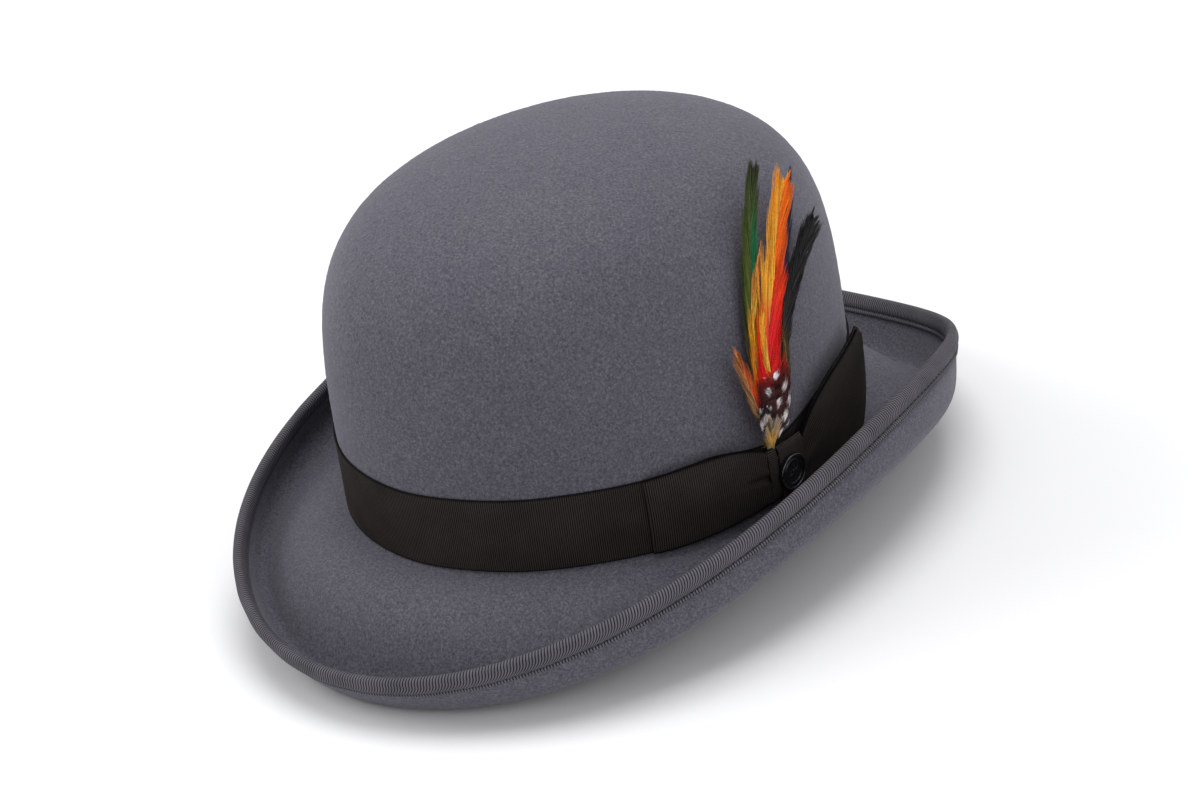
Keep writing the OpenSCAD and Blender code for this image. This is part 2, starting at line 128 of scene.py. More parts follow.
def brim(t, u, off):
    """The brim's face at u from the crown to the edge, and past 1 straight on in mm."""
    t, u, off = np.broadcast_arrays(np.asarray(t, float), u, off)
    p0, p1, p2, p3 = brim_handles(t)
    c = np.minimum(u, 1)[..., None]
    b = (1 - c) ** 3 * p0 + 3 * (1 - c) ** 2 * c * p1 + 3 * (1 - c) * c * c * p2 + c ** 3 * p3
    g = unit((1 - c) ** 2 * (p1 - p0) + 2 * (1 - c) * c * (p2 - p1) + c * c * (p3 - p2))
    b = b + np.maximum(u - 1, 0)[..., None] * g
    return place(t, 1, np.maximum(b[..., 0], 0.001), b[..., 1], -g[..., 1], g[..., 0], off, True)


def corner(t, f, off):
    """The rounded corner between the crown's wall and the brim."""
    t, f, off = np.broadcast_arrays(np.asarray(t, float), f, off)
    p0, p1, p2, p3 = brim_handles(t)
    u = CORNER_U
    b = (1 - u) ** 3 * p0 + 3 * (1 - u) ** 2 * u * p1 + 3 * (1 - u) * u * u * p2 + u ** 3 * p3
    a = p0 + np.array([0, BREAK_R])
    w = f[..., None]
    p = (1 - w) ** 2 * a + 2 * w * (1 - w) * p0 + w * w * b
    g = unit((1 - w) * (p0 - a) + w * (b - p0))
    return place(t, 1, np.maximum(p[..., 0], 0.001), p[..., 1], -g[..., 1], g[..., 0], off, True)


def edge_share(t, w):
    return w / (3 * ROLL_FULL * (REACH - REACH_WAVE * cosd(2 * t)))


def even_angles(n, height=None, extra=0.0, shift=0.0):
    """n angles round the hat, evenly spaced along the brim's edge, or along the wall at a height,
    and the length round. shift moves them on by that many mm."""
    t = np.linspace(-360, 720, 8641)
    p = brim(t, 1.0, 0.0) if height is None else wall(t, height, extra)
    s = np.concatenate([[0], np.cumsum(np.linalg.norm(np.diff(p, axis=0), axis=1))])
    girth = s[-1] / 3
    return np.interp(girth + np.linspace(0, girth, n, endpoint=False) + shift, s, t), girth


# ---------------------------------------------------------------- mesh helpers
def put_mesh(name, verts_mm, faces, material, smooth_faces=True, uv=None, colour=None, sharp=None):
    """An object from points in mm, and an int array of quads (-1 pads a triangle)."""
    mesh = bpy.data.meshes.new(name)
    v = np.asarray(verts_mm, float).reshape(-1, 3) * MM
    f = np.asarray(faces, np.int64)
    counts = np.where(f[:, 3] < 0, 3, 4)
    flat = f.reshape(-1)
    flat = flat[flat >= 0]
    mesh.vertices.add(len(v))
    mesh.vertices.foreach_set("co", v.astype(np.float32).ravel())
    mesh.loops.add(len(flat))
    mesh.loops.foreach_set("vertex_index", flat.astype(np.int32))
    mesh.polygons.add(len(f))
    mesh.polygons.foreach_set("loop_start", np.concatenate([[0], np.cumsum(counts)[:-1]]).astype(np.int32))
    mesh.polygons.foreach_set("use_smooth", np.full(len(f), smooth_faces))
    mesh.update(calc_edges=True)
    if uv is not None:
        layer = mesh.uv_layers.new(name="UVMap")
        layer.data.foreach_set("uv", np.asarray(uv, np.float32).ravel())
    if colour is not None:
        attr = mesh.color_attributes.new("tint", "FLOAT_COLOR", "POINT")
        rgba = np.concatenate([colour, np.ones((len(colour), 1))], 1)
        attr.data.foreach_set("color", rgba.astype(np.float32).ravel())
    if sharp:
        mesh.set_sharp_from_angle(angle=math.radians(sharp))
    mesh.validate()
    mesh.materials.append(material)
    obj = bpy.data.objects.new(name, mesh)
    bpy.context.scene.collection.objects.link(obj)
    return obj


def grid_quads(n, m, ring, base=0):
    """Quads of an n by m grid; its columns close round if ring."""
    i, j = np.meshgrid(np.arange(n - 1), np.arange(m if ring else m - 1), indexing="ij")
    a, b = i * m + j, i * m + (j + 1) % m
    return (np.stack([a, b, b + m, a + m], -1).reshape(-1, 4)) + base, i.ravel(), j.ravel()


def grid_uv(grid, ring):
    """Arc lengths (along a row, along a column) in metres at each point of a grid; one column more if ring."""
    g = np.concatenate([grid, grid[:, :1]], 1) if ring else grid
    mid = g[g.shape[0] // 2]
    u = np.concatenate([[0], np.cumsum(np.linalg.norm(np.diff(mid, axis=0), axis=1))])
    down = g[:, g.shape[1] // 3]
    v = np.concatenate([[0], np.cumsum(np.linalg.norm(np.diff(down, axis=0), axis=1))])
    return np.stack(np.broadcast_arrays(u[None, :], v[:, None]), -1) * MM


def shell(name, face_a, face_b, material, ring=False, capped=False, sharp=None, tone=None):
    """A closed sheet between two grids. face_a's normals point out: rows down, columns round.
    tone, from 0 in a groove to 1 on a rib, is kept as a colour attribute; it paints shade into the grooves."""
    n, m = face_a.shape[:2]
    na, nb = n, face_b.shape[0]
    count_a = na * m
    qa, ia, ja = grid_quads(na, m, ring)
    qb, ib, jb = grid_quads(nb, m, ring, count_a)
    uva, uvb = grid_uv(face_a, ring), grid_uv(face_b, ring)
    corners = [(0, 0), (0, 1), (1, 1), (1, 0)]
    loops_a = np.stack([uva[ia + di, ja + dj] for di, dj in corners], 1)
    loops_b = np.stack([uvb[ib + di, jb + dj] for di, dj in corners], 1)[:, ::-1]
    qb = qb[:, ::-1]
    quads, uvs = [qa, qb], [loops_a, loops_b]
    cols = m if ring else m - 1
    j = np.arange(cols)
    k = (j + 1) % m
    end_a, end_b = (na - 1) * m, count_a + (nb - 1) * m
    quads.append(np.stack([end_a + j, end_a + k, end_b + k, end_b + j], -1))
    uvs.append(np.repeat(uva[-1, j][:, None], 4, 1))
    verts = [face_a.reshape(-1, 3), face_b.reshape(-1, 3)]
    if capped:
        top_a, top_b = count_a + nb * m, count_a + nb * m + 1
        verts.append(np.stack([face_a[0].mean(0), face_b[0].mean(0)]))
        pad = np.full(cols, -1)
        quads.append(np.stack([np.full(cols, top_a), k, j, pad], -1))
        quads.append(np.stack([np.full(cols, top_b), count_a + j, count_a + k, pad], -1))
        uvs += [None, None]
    else:
        quads.append(np.stack([k, j, count_a + j, count_a + k], -1))
        uvs.append(np.repeat(uva[0, j][:, None], 4, 1))
    if not ring and na == nb:
        for col, step in ((0, 1), (m - 1, -1)):
            i = np.arange(na - 1) * m + col
            quads.append(np.stack([i, i + m, i + m + count_a, i + count_a], -1)[:, ::step])
            uvs.append(np.zeros((len(i), 4, 2)))
    flat_uv = [np.zeros((len(q) * 3, 2)) if w is None else w.reshape(-1, 2) for q, w in zip(quads, uvs)]
    tint = None
    if tone is not None:
        rib_shading = [np.broadcast_to(tone, face_a.shape[:2]).ravel()] * (2 if na == nb else 1)
        rest = np.full(sum(len(q) for q in verts) - len(rib_shading) * n * m, BARE_TONE)
        tint = np.repeat(np.concatenate(rib_shading + [rest])[:, None], 3, 1)
    return put_mesh(name, np.concatenate(verts), np.concatenate(quads), material,
                    uv=np.concatenate(flat_uv), sharp=sharp, colour=tint)


def tube_quads(n, rows, sides):
    """Quads of n open tubes, and the number of each tube's first point."""
    base = (np.arange(n) * rows * sides)[:, None, None]
    i, k = np.meshgrid(np.arange(rows - 1) * sides, np.arange(sides), indexing="ij")
    a, b = (i + k)[None] + base, (i + (k + 1) % sides)[None] + base
    return np.stack([a, b, b + sides, a + sides], -1).reshape(-1, 4), base


def closed_corners(n, m):
    """The four corners of each quad of an n by m grid that closes both ways."""
    i, j = np.meshgrid(np.arange(n), np.arange(m), indexing="ij")
    down, on = (i + 1) % n, (j + 1) % m
    return i * m + j, i * m + on, down * m + on, down * m + j


def strips(paths, widths, thicks, side_dirs):
    """Closed flat strips. paths (n, p, 3), widths and thicks (n, p), side_dirs (n, p, 3)."""
    n, p = paths.shape[:2]
    run = np.gradient(paths, axis=1)
    side = unit(side_dirs - run * (np.sum(side_dirs * run, -1, keepdims=True)
                                   / np.maximum(np.sum(run * run, -1, keepdims=True), 1e-9)))
    up = unit(np.cross(run, side))
    w, h = widths[..., None] / 2, thicks[..., None] / 2
    ring = np.stack([paths + side * w, paths + up * h, paths - side * w, paths - up * h], 2)
    quads, base = tube_quads(n, p, 4)
    first = base[:, 0] + np.array([[3, 2, 1, 0]])
    last = base[:, 0] + (p - 1) * 4 + np.array([[0, 1, 2, 3]])
    return ring.reshape(-1, 3), np.concatenate([quads, first, last])


def merge(parts):
    verts, faces, at = [], [], 0
    for v, f in parts:
        verts.append(v)
        faces.append(np.where(f < 0, -1, f + at))
        at += len(v)
    return np.concatenate(verts), np.concatenate(faces)


def capsules(centres, directions, length, radius, rings=5):
    """Small closed stitches with six sides."""
    sides = 6
    centres, directions = np.asarray(centres), unit(np.asarray(directions))
    other = unit(np.cross(directions, np.array([0.3, 0.2, 0.93])))
    third = np.cross(directions, other)
    s = np.linspace(-1, 1, rings)
    r = radius * np.sqrt(np.maximum(1 - s ** 4, 0.05))
    a = np.arange(sides) / sides * TURN
    pts = (centres[:, None, None] + directions[:, None, None] * (s * length / 2)[None, :, None, None]
           + other[:, None, None] * (r[:, None] * np.cos(a))[None, :, :, None]
           + third[:, None, None] * (r[:, None] * np.sin(a))[None, :, :, None])
    quads, base = tube_quads(len(centres), rings, sides)
    cap = np.array([[0, 1, 2, 3], [0, 3, 4, 5]])[None] + base
    first = cap.reshape(-1, 4)[:, ::-1]
    last = (cap + (rings - 1) * sides).reshape(-1, 4)
    return pts.reshape(-1, 3), np.concatenate([quads, first, last])


def soft_noise(points_mm, scale, seed=0.0):
    """Smooth noise from -1 to 1 with a feature size in mm."""
    shift = Vector((seed, seed * 1.7, -seed * 0.6))
    flat = np.asarray(points_mm).reshape(-1, 3) / scale
    out = np.fromiter((noise.noise(Vector(p) + shift) for p in flat), float, len(flat))
    return out.reshape(np.asarray(points_mm).shape[:-1])


def rib(phase):
    """A rounded rib with a narrow groove beside it, from 0 to 1."""
    return np.abs(np.sin(np.pi * phase)) ** 0.8


# ---------------------------------------------------------------- materials
class Nodes:
    """A short way to write a node tree."""

    def __init__(self, name):
        self.mat = bpy.data.materials.new(name)
        self.mat.use_nodes = True
        self.tree = self.mat.node_tree
        self.shader = self.tree.nodes["Principled BSDF"]
        self.place = self.add("ShaderNodeTexCoord").outputs["Object"]

    def add(self, kind, **values):
        node = self.tree.nodes.new(kind)
        for key, value in values.items():
            if key in node.inputs:
                node.inputs[key].default_value = value
            else:
                setattr(node, key, value)
        return node

    def link(self, a, b):
        self.tree.links.new(a, b)

    def feed(self, socket, x):
        """Gives a socket a number, a colour or a link."""
        if isinstance(x, (int, float)):
            socket.default_value = x
        elif isinstance(x, tuple):
            socket.default_value = (*x, 1)
        else:
            self.link(x, socket)

    def noise(self, scale, detail=2.0, rough=0.5, distort=0.0, vector=None):
        n = self.add("ShaderNodeTexNoise", Scale=scale, Detail=detail, Roughness=rough, Distortion=distort)
        self.link(vector or self.place, n.inputs["Vector"])
        return n.outputs["Fac"]

    def threads(self, scale):
        """Noise drawn out along a ribbon's length."""
        stretch = self.add("ShaderNodeMapping", Scale=scale)
        self.link(self.add("ShaderNodeUVMap", uv_map="UVMap").outputs["UV"], stretch.inputs["Vector"])
        return self.noise(1.0, 2.0, 0.5, vector=stretch.outputs["Vector"])

    def ramp(self, value, stops):
        r = self.add("ShaderNodeValToRGB")
        while len(r.color_ramp.elements) < len(stops):
            r.color_ramp.elements.new(0.5)
        for e, (at, c) in zip(r.color_ramp.elements, stops):
            e.position = at
            e.color = (*c, 1)
        self.link(value, r.inputs["Fac"])
        return r.outputs["Color"]

    def math(self, op, a, b):
        n = self.add("ShaderNodeMath", operation=op)
        for socket, x in zip(n.inputs, (a, b)):
            self.feed(socket, x)
        return n.outputs[0]

    def both(self, a, share_a, b, share_b):
        """A weighted sum."""
        return self.math("ADD", self.math("MULTIPLY", a, share_a), self.math("MULTIPLY", b, share_b))

    def times(self, a, b):
        """One colour multiplied by another."""
        n = self.add("ShaderNodeMix", data_type="RGBA", blend_type="MULTIPLY")
        for at, x in ((0, 1.0), (6, a), (7, b)):
            self.feed(n.inputs[at], x)
        return n.outputs[2]

    def bump(self, height, distance, strength):
        b = self.add("ShaderNodeBump", Strength=strength, Distance=distance)
        self.link(height, b.inputs["Height"])
        return b.outputs["Normal"]

    def finish(self, colour, normal, roughness, **sockets):
        for key, value in sockets.items():
            self.shader.inputs[key.replace("_", " ")].default_value = value
        self.feed(self.shader.inputs["Base Color"], colour)
        if normal is not None:
            self.link(normal, self.shader.inputs["Normal"])
        self.feed(self.shader.inputs["Roughness"], roughness)
        return self.mat


def felt_material():
    m = Nodes("wool_felt")
    fibre = m.noise(2300, 3.0, 0.7, 0.8)
    fleck = m.noise(1050, 2.0, 0.6, 0.5)
    cloud = m.noise(300, 3.0, 0.6, 0.4)
    broad = m.noise(22, 2.0, 0.5)
    base = m.ramp(m.both(fibre, 0.5, fleck, 0.5), [(0.34, (0.048, 0.046, 0.060)), (0.5, (0.096, 0.093, 0.113)),
                                                   (0.68, (0.170, 0.166, 0.190))])
    shade = m.ramp(cloud, [(0.3, (0.95, 0.95, 0.96)), (0.7, (1.04, 1.04, 1.04))])
    wide = m.ramp(broad, [(0.3, (0.95, 0.95, 0.96)), (0.7, (1.04, 1.04, 1.03))])
    height = m.both(fibre, 0.5, cloud, 0.5)
    return m.finish(m.times(m.times(base, shade), wide), m.bump(height, 0.00040, 0.5), 0.95, Sheen_Weight=0.25,
                    Sheen_Roughness=0.45, Sheen_Tint=(0.72, 0.72, 0.80, 1), Specular_IOR_Level=0.12)


def ribbon_material(name, dark, light, sheen, rough, spec):
    """Warp-faced ribbon: fine threads along its length over the ribs that the mesh has. Its colour runs from
    dark, the painted shade in the rib grooves, to light on the rib tops.
    """
    m = Nodes(name)
    thread = m.threads((700.0, 4200.0, 1.0))
    patch = m.noise(90, 3.0, 0.55)
    fine = m.noise(1300, 2.0, 0.6)
    weave = m.both(thread, 0.65, fine, 0.35)
    # painted shade: the rib tone from the mesh darkens each groove and lightens each rib top
    tone = m.add("ShaderNodeAttribute", attribute_name="tint").outputs["Fac"]
    base = m.ramp(m.both(tone, 0.72, weave, 0.28), [(0.34, dark), (0.80, light)])
    shade = m.ramp(patch, [(0.3, (0.85, 0.85, 0.85)), (0.7, (1.15, 1.14, 1.13))])
    return m.finish(m.times(base, shade), m.bump(weave, 0.00012, 0.6), rough,
                    Sheen_Weight=sheen, Sheen_Roughness=0.4, Sheen_Tint=(0.8, 0.76, 0.74, 1),
                    Specular_IOR_Level=spec)


def thread_material(name, colour):
    m = Nodes(name)
    n = m.noise(2200, 2.0, 0.5)
    dark, light = (tuple(c * f for c in colour) for f in (0.6, 1.5))
    return m.finish(m.ramp(n, [(0.3, dark), (0.7, light)]), m.bump(n, 0.0001, 0.6), 0.7,
                    Sheen_Weight=0.3, Specular_IOR_Level=0.3)


def metal_material(name, dark, light, rough, metallic, coat):
    m = Nodes(name)
    cloud = m.noise(500, 3.0, 0.6)
    speck = m.noise(3200, 2.0, 0.7)
    r = m.add("ShaderNodeMapRange", **{"To Min": rough * 0.75, "To Max": rough * 1.35})
    m.link(speck, r.inputs["Value"])
    return m.finish(m.ramp(cloud, [(0.3, dark), (0.75, light)]), m.bump(speck, 0.00003, 0.5),
                    r.outputs["Result"], Metallic=metallic, Coat_Weight=coat, Coat_Roughness=0.2)


def feather_material():
    m = Nodes("dyed_feather")
    tint = m.add("ShaderNodeAttribute", attribute_name="tint").outputs["Color"]
    fine = m.noise(1500, 2.0, 0.6)
    shade = m.ramp(fine, [(0.3, (0.78, 0.78, 0.78)), (0.7, (1.15, 1.15, 1.15))])
    return m.finish(m.times(tint, shade), m.bump(fine, 0.00008, 0.5), 0.5,
                    Sheen_Weight=0.03, Sheen_Roughness=0.35, Specular_IOR_Level=0.14)


def leather_material():
    m = Nodes("sweat_leather")
    cell = m.add("ShaderNodeTexVoronoi", Scale=1150, feature="DISTANCE_TO_EDGE")
    m.link(m.place, cell.inputs["Vector"])
    cloud = m.noise(45, 4.0, 0.6)
    fine = m.noise(2600, 2.0, 0.6)
    base = m.ramp(cloud, [(0.3, (0.115, 0.050, 0.022)), (0.7, (0.200, 0.096, 0.046))])
    # darker into the grain's creases, where the bump dips: partly the leather's own grain, partly painted shade
    crease = m.ramp(cell.outputs["Distance"], [(0.0, (0.72, 0.72, 0.72)), (0.12, (1.03, 1.03, 1.03))])
    height = m.math("ADD", m.math("MINIMUM", cell.outputs["Distance"], 0.12), m.math("MULTIPLY", fine, 0.03))
    return m.finish(m.times(base, crease), m.bump(height, 0.0006, 0.5), 0.48,
                    Specular_IOR_Level=0.4, Coat_Weight=0.12, Coat_Roughness=0.4)


def satin_material(name, dark, light):
    m = Nodes(name)
    thread = m.threads((5200.0, 420.0, 1.0))
    patch = m.noise(60, 2.0, 0.5)
    colour = m.ramp(m.both(thread, 0.5, patch, 0.5), [(0.3, dark), (0.7, light)])
    return m.finish(colour, m.bump(thread, 0.00006, 0.6), 0.33,
                    Sheen_Weight=0.2, Sheen_Roughness=0.3, Specular_IOR_Level=0.55, Anisotropic=0.5)


def plain_material(name, dark, light, scale, rough, **more):
    m = Nodes(name)
    n = m.noise(scale, 3.0, 0.6)
    return m.finish(m.ramp(n, [(0.3, dark), (0.7, light)]), m.bump(n, 0.00006, 0.4), rough, **more)


FELT = felt_material()
# each ribbon's dark colour is painted groove shade, its light colour the rib tops
BAND = ribbon_material("black_grosgrain", (0.0008, 0.0007, 0.0007), (0.0400, 0.0335, 0.0305), 0.0, 0.70, 0.06)
BIND = ribbon_material("grey_grosgrain", (0.006, 0.0055, 0.007), (0.132, 0.127, 0.145), 0.03, 0.70, 0.10)
THREAD = thread_material("binding_thread", (0.030, 0.029, 0.034))
BLACK_THREAD = thread_material("ribbon_thread", (0.010, 0.009, 0.009))
TIE = thread_material("waxed_thread", (0.050, 0.040, 0.028))
BADGE = metal_material("dark_gunmetal", (0.010, 0.010, 0.011), (0.030, 0.030, 0.032), 0.32, 0.7, 0.4)
RIM = metal_material("worn_gunmetal", (0.030, 0.030, 0.033), (0.090, 0.090, 0.096), 0.24, 0.9, 0.3)
STEEL = metal_material("post_steel", (0.40, 0.40, 0.42), (0.60, 0.60, 0.62), 0.28, 1.0, 0.0)
BRASS = metal_material("clutch_brass", (0.42, 0.30, 0.10), (0.66, 0.50, 0.20), 0.30, 1.0, 0.0)
VANE = feather_material()
LEATHER = leather_material()
SATIN = satin_material("lining_satin", (0.014, 0.012, 0.015), (0.034, 0.029, 0.034))
REED = plain_material("reed_core", (0.56, 0.53, 0.45), (0.74, 0.71, 0.62), 900, 0.5)
LABEL = plain_material("woven_label", (0.58, 0.57, 0.53), (0.76, 0.75, 0.71), 1600, 0.8, Sheen_Weight=0.2)
QUILL = plain_material("quill_keratin", (0.45, 0.37, 0.24), (0.72, 0.64, 0.48), 420, 0.35)
PATCH = plain_material("clear_film", (0.80, 0.80, 0.83), (0.92, 0.92, 0.95), 300, 0.12,
                       Transmission_Weight=0.85, IOR=1.46, Specular_IOR_Level=0.5)


def keep(node, material):
    """A CAD node stays, with a finish of its own."""
    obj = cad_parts[node]
    for s in obj.material_slots:
        s.material = material
    if not obj.material_slots:
        obj.data.materials.append(material)


def own(obj, body, slot, *nodes):
    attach(obj, body)
    if nodes:
        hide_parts(*nodes)
    return obj


# ---------------------------------------------------------------- felt
def make_felt():
    t = round_angles(448)
    top = 88.6
    f = np.concatenate([np.linspace(top, 37.5, 64), np.degrees(np.arctan(np.linspace(0.745, 0.0162, 46)))])
    u = np.linspace(CORNER_U, 1, 58)
    w = np.array([0.0, 0.2, 0.4, 0.6, 0.8])

    def face(off, wave=0.0):
        c = crown(t[None], f[:, None], off + (wave[:len(f)] if np.ndim(wave) else 0))
        k = corner(t[None], w[:, None], off)
        b = brim(t[None], u[:, None], off + (wave[len(f) + len(w):] if np.ndim(wave) else 0))
        return np.concatenate([c, k, b])

    flat = face(0.0)
    wave = 0.16 * soft_noise(flat, 34, 3.1) + 0.07 * soft_noise(flat, 11, 8.2)
    calm = np.concatenate([smooth(0, 14, f) * smooth(0, 16, top - f), np.zeros(len(w)),
                           smooth(0.05, 0.2, u) * (1 - smooth(0.8, 0.95, u))])
    wave = wave * calm[:, None]
    nap = 0.045 * RNG.standard_normal(wave.shape) * calm[:, None]
    out = face(0.0, wave + nap)
    inner = face(-FELT_T, wave)
    return shell("hat_felt", out[:, ::-1], inner[:, ::-1], FELT, ring=True, capped=True)


own(make_felt(), "hat", "felt", "felt_body")


# ---------------------------------------------------------------- brim binding
BIND_W, STITCH, FOLD_R = 6.5, 4.5, 1.2


def make_binding():
    pitch, per = 1.1, 5
    _, length = even_angles(8)
    ribs = int(round(length / pitch))
    n = ribs * per
    ribh = rib(np.arange(n) / per)
    ripple = 0.10 * np.sin(np.radians(round_angles(n)) * 41)

    def lift(s):
        """Height of the ribbon's face over the felt, s mm from the edge."""
        puff = 0.74 + 0.50 * np.sin(np.pi * min(s / STITCH, 1)) ** 0.8
        flange = 0.70 + 0.26 * math.sin(math.pi * min(max((s - STITCH) / (BIND_W - STITCH), 0), 1))
        groove = 0.46 * math.exp(-((s - STITCH) / 0.34) ** 2)
        return (puff if s <= STITCH else flange) - groove

    def lean(s):
        """How far the ribs lean along the edge, s mm from it, in mm."""
        near = min(s, STITCH)
        return -(0.1 * near + 0.15 * near * near) + 0.15 * max(s - STITCH, 0)

    rows, rib_shading = [], []

    def add(t, u, off, tone):
        rows.append(brim(t, u, off))
        rib_shading.append(tone)

    under = [0.0, 0.5, 1.0, 1.5, 2.0, 2.5, 3.0, 3.4, 3.8, 4.1, 4.35, 4.5, 4.65, 4.85, 5.2, 5.6, 6.0, 6.35, 6.5]
    # the tone ribh paints shade into the rib grooves
    for s in [6.5, 6.2, 5.6, 4.9, 4.5, 4.1, 3.3, 2.2, 1.1, 0.0]:
        t, _ = even_angles(n, shift=0.3 * lean(s))
        add(t, 1 - edge_share(t, s), lift(s) + 0.15 * (ribh - 0.4), ribh)
    for a in np.linspace(0, 180, 8)[1:-1]:
        t, _ = even_angles(n)
        r = FOLD_R + lift(0.0) + 0.15 * (ribh - 0.4)
        add(t, 1 + r * sind(a), -FOLD_R + r * cosd(a), ribh)
    for s in under:
        t, _ = even_angles(n, shift=lean(s))
        # painted shade: on the underside the tone darkens into the stitch groove, and ends darkens the free edge
        # against the felt; the ripple also calms at the stitch
        stitch_calm_and_shade = 1 - 0.75 * math.exp(-((s - STITCH) / 0.22) ** 2)
        ends = 1 - 0.5 * math.exp(-((BIND_W - s) / 0.2) ** 2)
        add(t, 1 - edge_share(t, s), -FELT_T - lift(s) - 0.17 * (ribh - 0.4) + ripple * stitch_calm_and_shade, ribh * stitch_calm_and_shade * ends)

    t, _ = even_angles(n)
    back = [brim(t, 1 - edge_share(t, s), 0.08) for s in (6.5, 4.5, 2.2, 0)]
    back += [brim(t, 1 + 1.28 * sind(a), -FOLD_R + 1.28 * cosd(a)) for a in (45, 90, 135)]
    back += [brim(t, 1 - edge_share(t, s), -FELT_T - 0.08) for s in (0, 2.2)]
    for s in (4.5, 6.5):
        t, _ = even_angles(n, shift=lean(s))
        back.append(brim(t, 1 - edge_share(t, s), -FELT_T - 0.08))
    obj = shell("binding_ribbon", np.stack(rows)[:, ::-1], np.stack(back)[:, ::-1], BIND, ring=True,
                tone=np.stack(rib_shading)[:, ::-1])
    return obj, length


binding, EDGE_LENGTH = make_binding()
own(binding, "hat", "binding_ribbon", "brim_binding")


def make_stitches():
    n = int(EDGE_LENGTH / 3.0)
    t, _ = even_angles(n)
    parts = []
    for off in (0.52, -FELT_T - 0.52):
        p = brim(t, 1 - edge_share(t, STITCH), off)
        d = brim(t + 0.2, 1 - edge_share(t, STITCH), off) - brim(t - 0.2, 1 - edge_share(t, STITCH), off)
        parts.append(capsules(p, d, 2.3, 0.19))
    v, f = merge(parts)
    return put_mesh("binding_stitches", v, f, THREAD)


own(make_stitches(), "hat", "thread", "binding_stitching")


# ---------------------------------------------------------------- hatband
BAND_FOOT, BAND_TOP, BAND_W = 1.8, 31.0, 29.2


def band_top(t):
    """The band's top edge, drawn down behind the bow."""
    d = ((t + 180) % 360 - 180 + 4.0) / 18.0
    return BAND_TOP - 5.5 * np.maximum(0, 1 - d * d) ** 2


def make_hatband():
    pitch, per = 0.78, 6
    _, length = even_angles(8, 16, 0.75)
    ribs = int(round(length / pitch))
    t, _ = even_angles(ribs * per, 16, 0.75)
    ribh = rib(np.arange(ribs * per) / per)
    z = np.array([BAND_FOOT, 2.1, 2.7, 5, 8, 12, 16, 20, 24, 27.5, 30.1, 30.7, BAND_TOP])
    edge = 1 - 0.6 * np.exp(-((z - BAND_FOOT) / 0.5) ** 2) - 0.6 * np.exp(-((BAND_TOP - z) / 0.5) ** 2)
    wander = 0.22 * np.sin(np.radians(t) * 5 + 0.6) + 0.12 * np.sin(np.radians(t) * 13)
    zz = mix(BAND_FOOT, band_top(t)[None], ((z - BAND_FOOT) / BAND_W)[:, None]) + wander[None]
    swell = 0.14 * np.sin(np.radians(t) * 9)[None] * np.sin(np.pi * (z[:, None] - BAND_FOOT) / BAND_W)
    out = wall(t[None], zz, 0.62 + 0.16 * ribh[None] * edge[:, None] + swell + 0.14)
    z_back = mix(BAND_FOOT, band_top(t)[None], np.array([0, 0.5, 1.0])[:, None]) + wander[None]
    back = wall(t[None], z_back, 0.12)
    # painted shade in each rib groove; edge also makes the band's foot and top edge darker
    tone = (ribh[None] * edge[:, None])[::-1, ::-1]
    return shell("band_ribbon_ring", out[::-1, ::-1], back[::-1, ::-1], BAND, ring=True, tone=tone), length


hatband, BAND_LENGTH = make_hatband()
own(hatband, "hat", "band_ribbon", "hatband")


# ---------------------------------------------------------------- bow
KNOT, BADGE_T, BADGE_Z, STEM_T = -3.2, -4.2, 14.4, -6.5
GAP, FOLD = 2.9 / MM_PER_DEG, -35.5
POCKET, KNOT_BACK, KNOT_OFF = 2.95, 4.0, 6.4
LOOP_OFF = 4.8


def selvedge(v, width=0.02):
    """1 over a ribbon's width and less at its two woven edges."""
    return 1 - 0.7 * np.exp(-(v / width) ** 2) - 0.7 * np.exp(-((1 - v) / width) ** 2)


def ribbon_strip(name, shape, nu, nv, t_mm, ribs, amp):
    """A ribbed ribbon. shape(u, v) gives [angle, height, offset of its middle]; ribs run across u."""
    u = np.linspace(0, 1, nu)[:, None]
    v = np.linspace(0, 1, nv)[None]
    t, z, off = np.broadcast_arrays(*shape(u, v))
    edge = selvedge(v)
    h = amp * (rib(u * ribs) - 0.3) * edge
    out = wall(t, z, off + t_mm / 2 + h)
    back = wall(t, z, off - t_mm / 2 + h * 0.5)
    # painted shade in each rib groove; selvedge also makes the two edges darker
    tone = np.broadcast_to(rib(u * ribs) * edge, t.shape).T
    return shell(name, out.transpose(1, 0, 2), back.transpose(1, 0, 2), BAND, tone=tone)


def backing_shape(u, v):
    t = mix(-30.0, 20.0, u)
    near = np.maximum(0, 1 - ((t - STEM_T) / 14) ** 2)
    return t, mix(4.0, 24.5, v), mix(1.25, POCKET + 0.6, near)


backing = ribbon_strip("bow_back_ribbon", backing_shape, 590, 12, 0.5, 117, 0.08)
own(backing, "hat", "band_ribbon", "bow_backing")

LOOP_TIE = BADGE_T - GAP


def front_height(u):
    top = 31.6 + 1.2 * np.sin(np.pi * u) - 10.5 * u ** 4
    foot = 2.0 + 4.5 * u * u
    return foot, top


def loop_middle(u, v):
    """Offset of the middle between the loop's two layers."""
    base = mix(2.4, LOOP_OFF, np.maximum(u, 0) ** 0.6) + np.sin(np.pi * u) * np.sin(np.pi * v)
    near = smooth(0.60, 0.95, u)
    crease = np.exp(-((v - 0.46 - 0.12 * (1 - u)) / mix(0.035, 0.075, near)) ** 2)
    fine = 0.22 * np.sin(2 * np.pi * (6.5 * v + 0.2)) * smooth(0.80, 1.0, u)
    folds = 0.30 * np.sin(2 * np.pi * (2.3 * v + 0.06)) * smooth(0.55, 1.0, u)
    return base + near * (0.30 - 1.9 * crease) + folds + fine


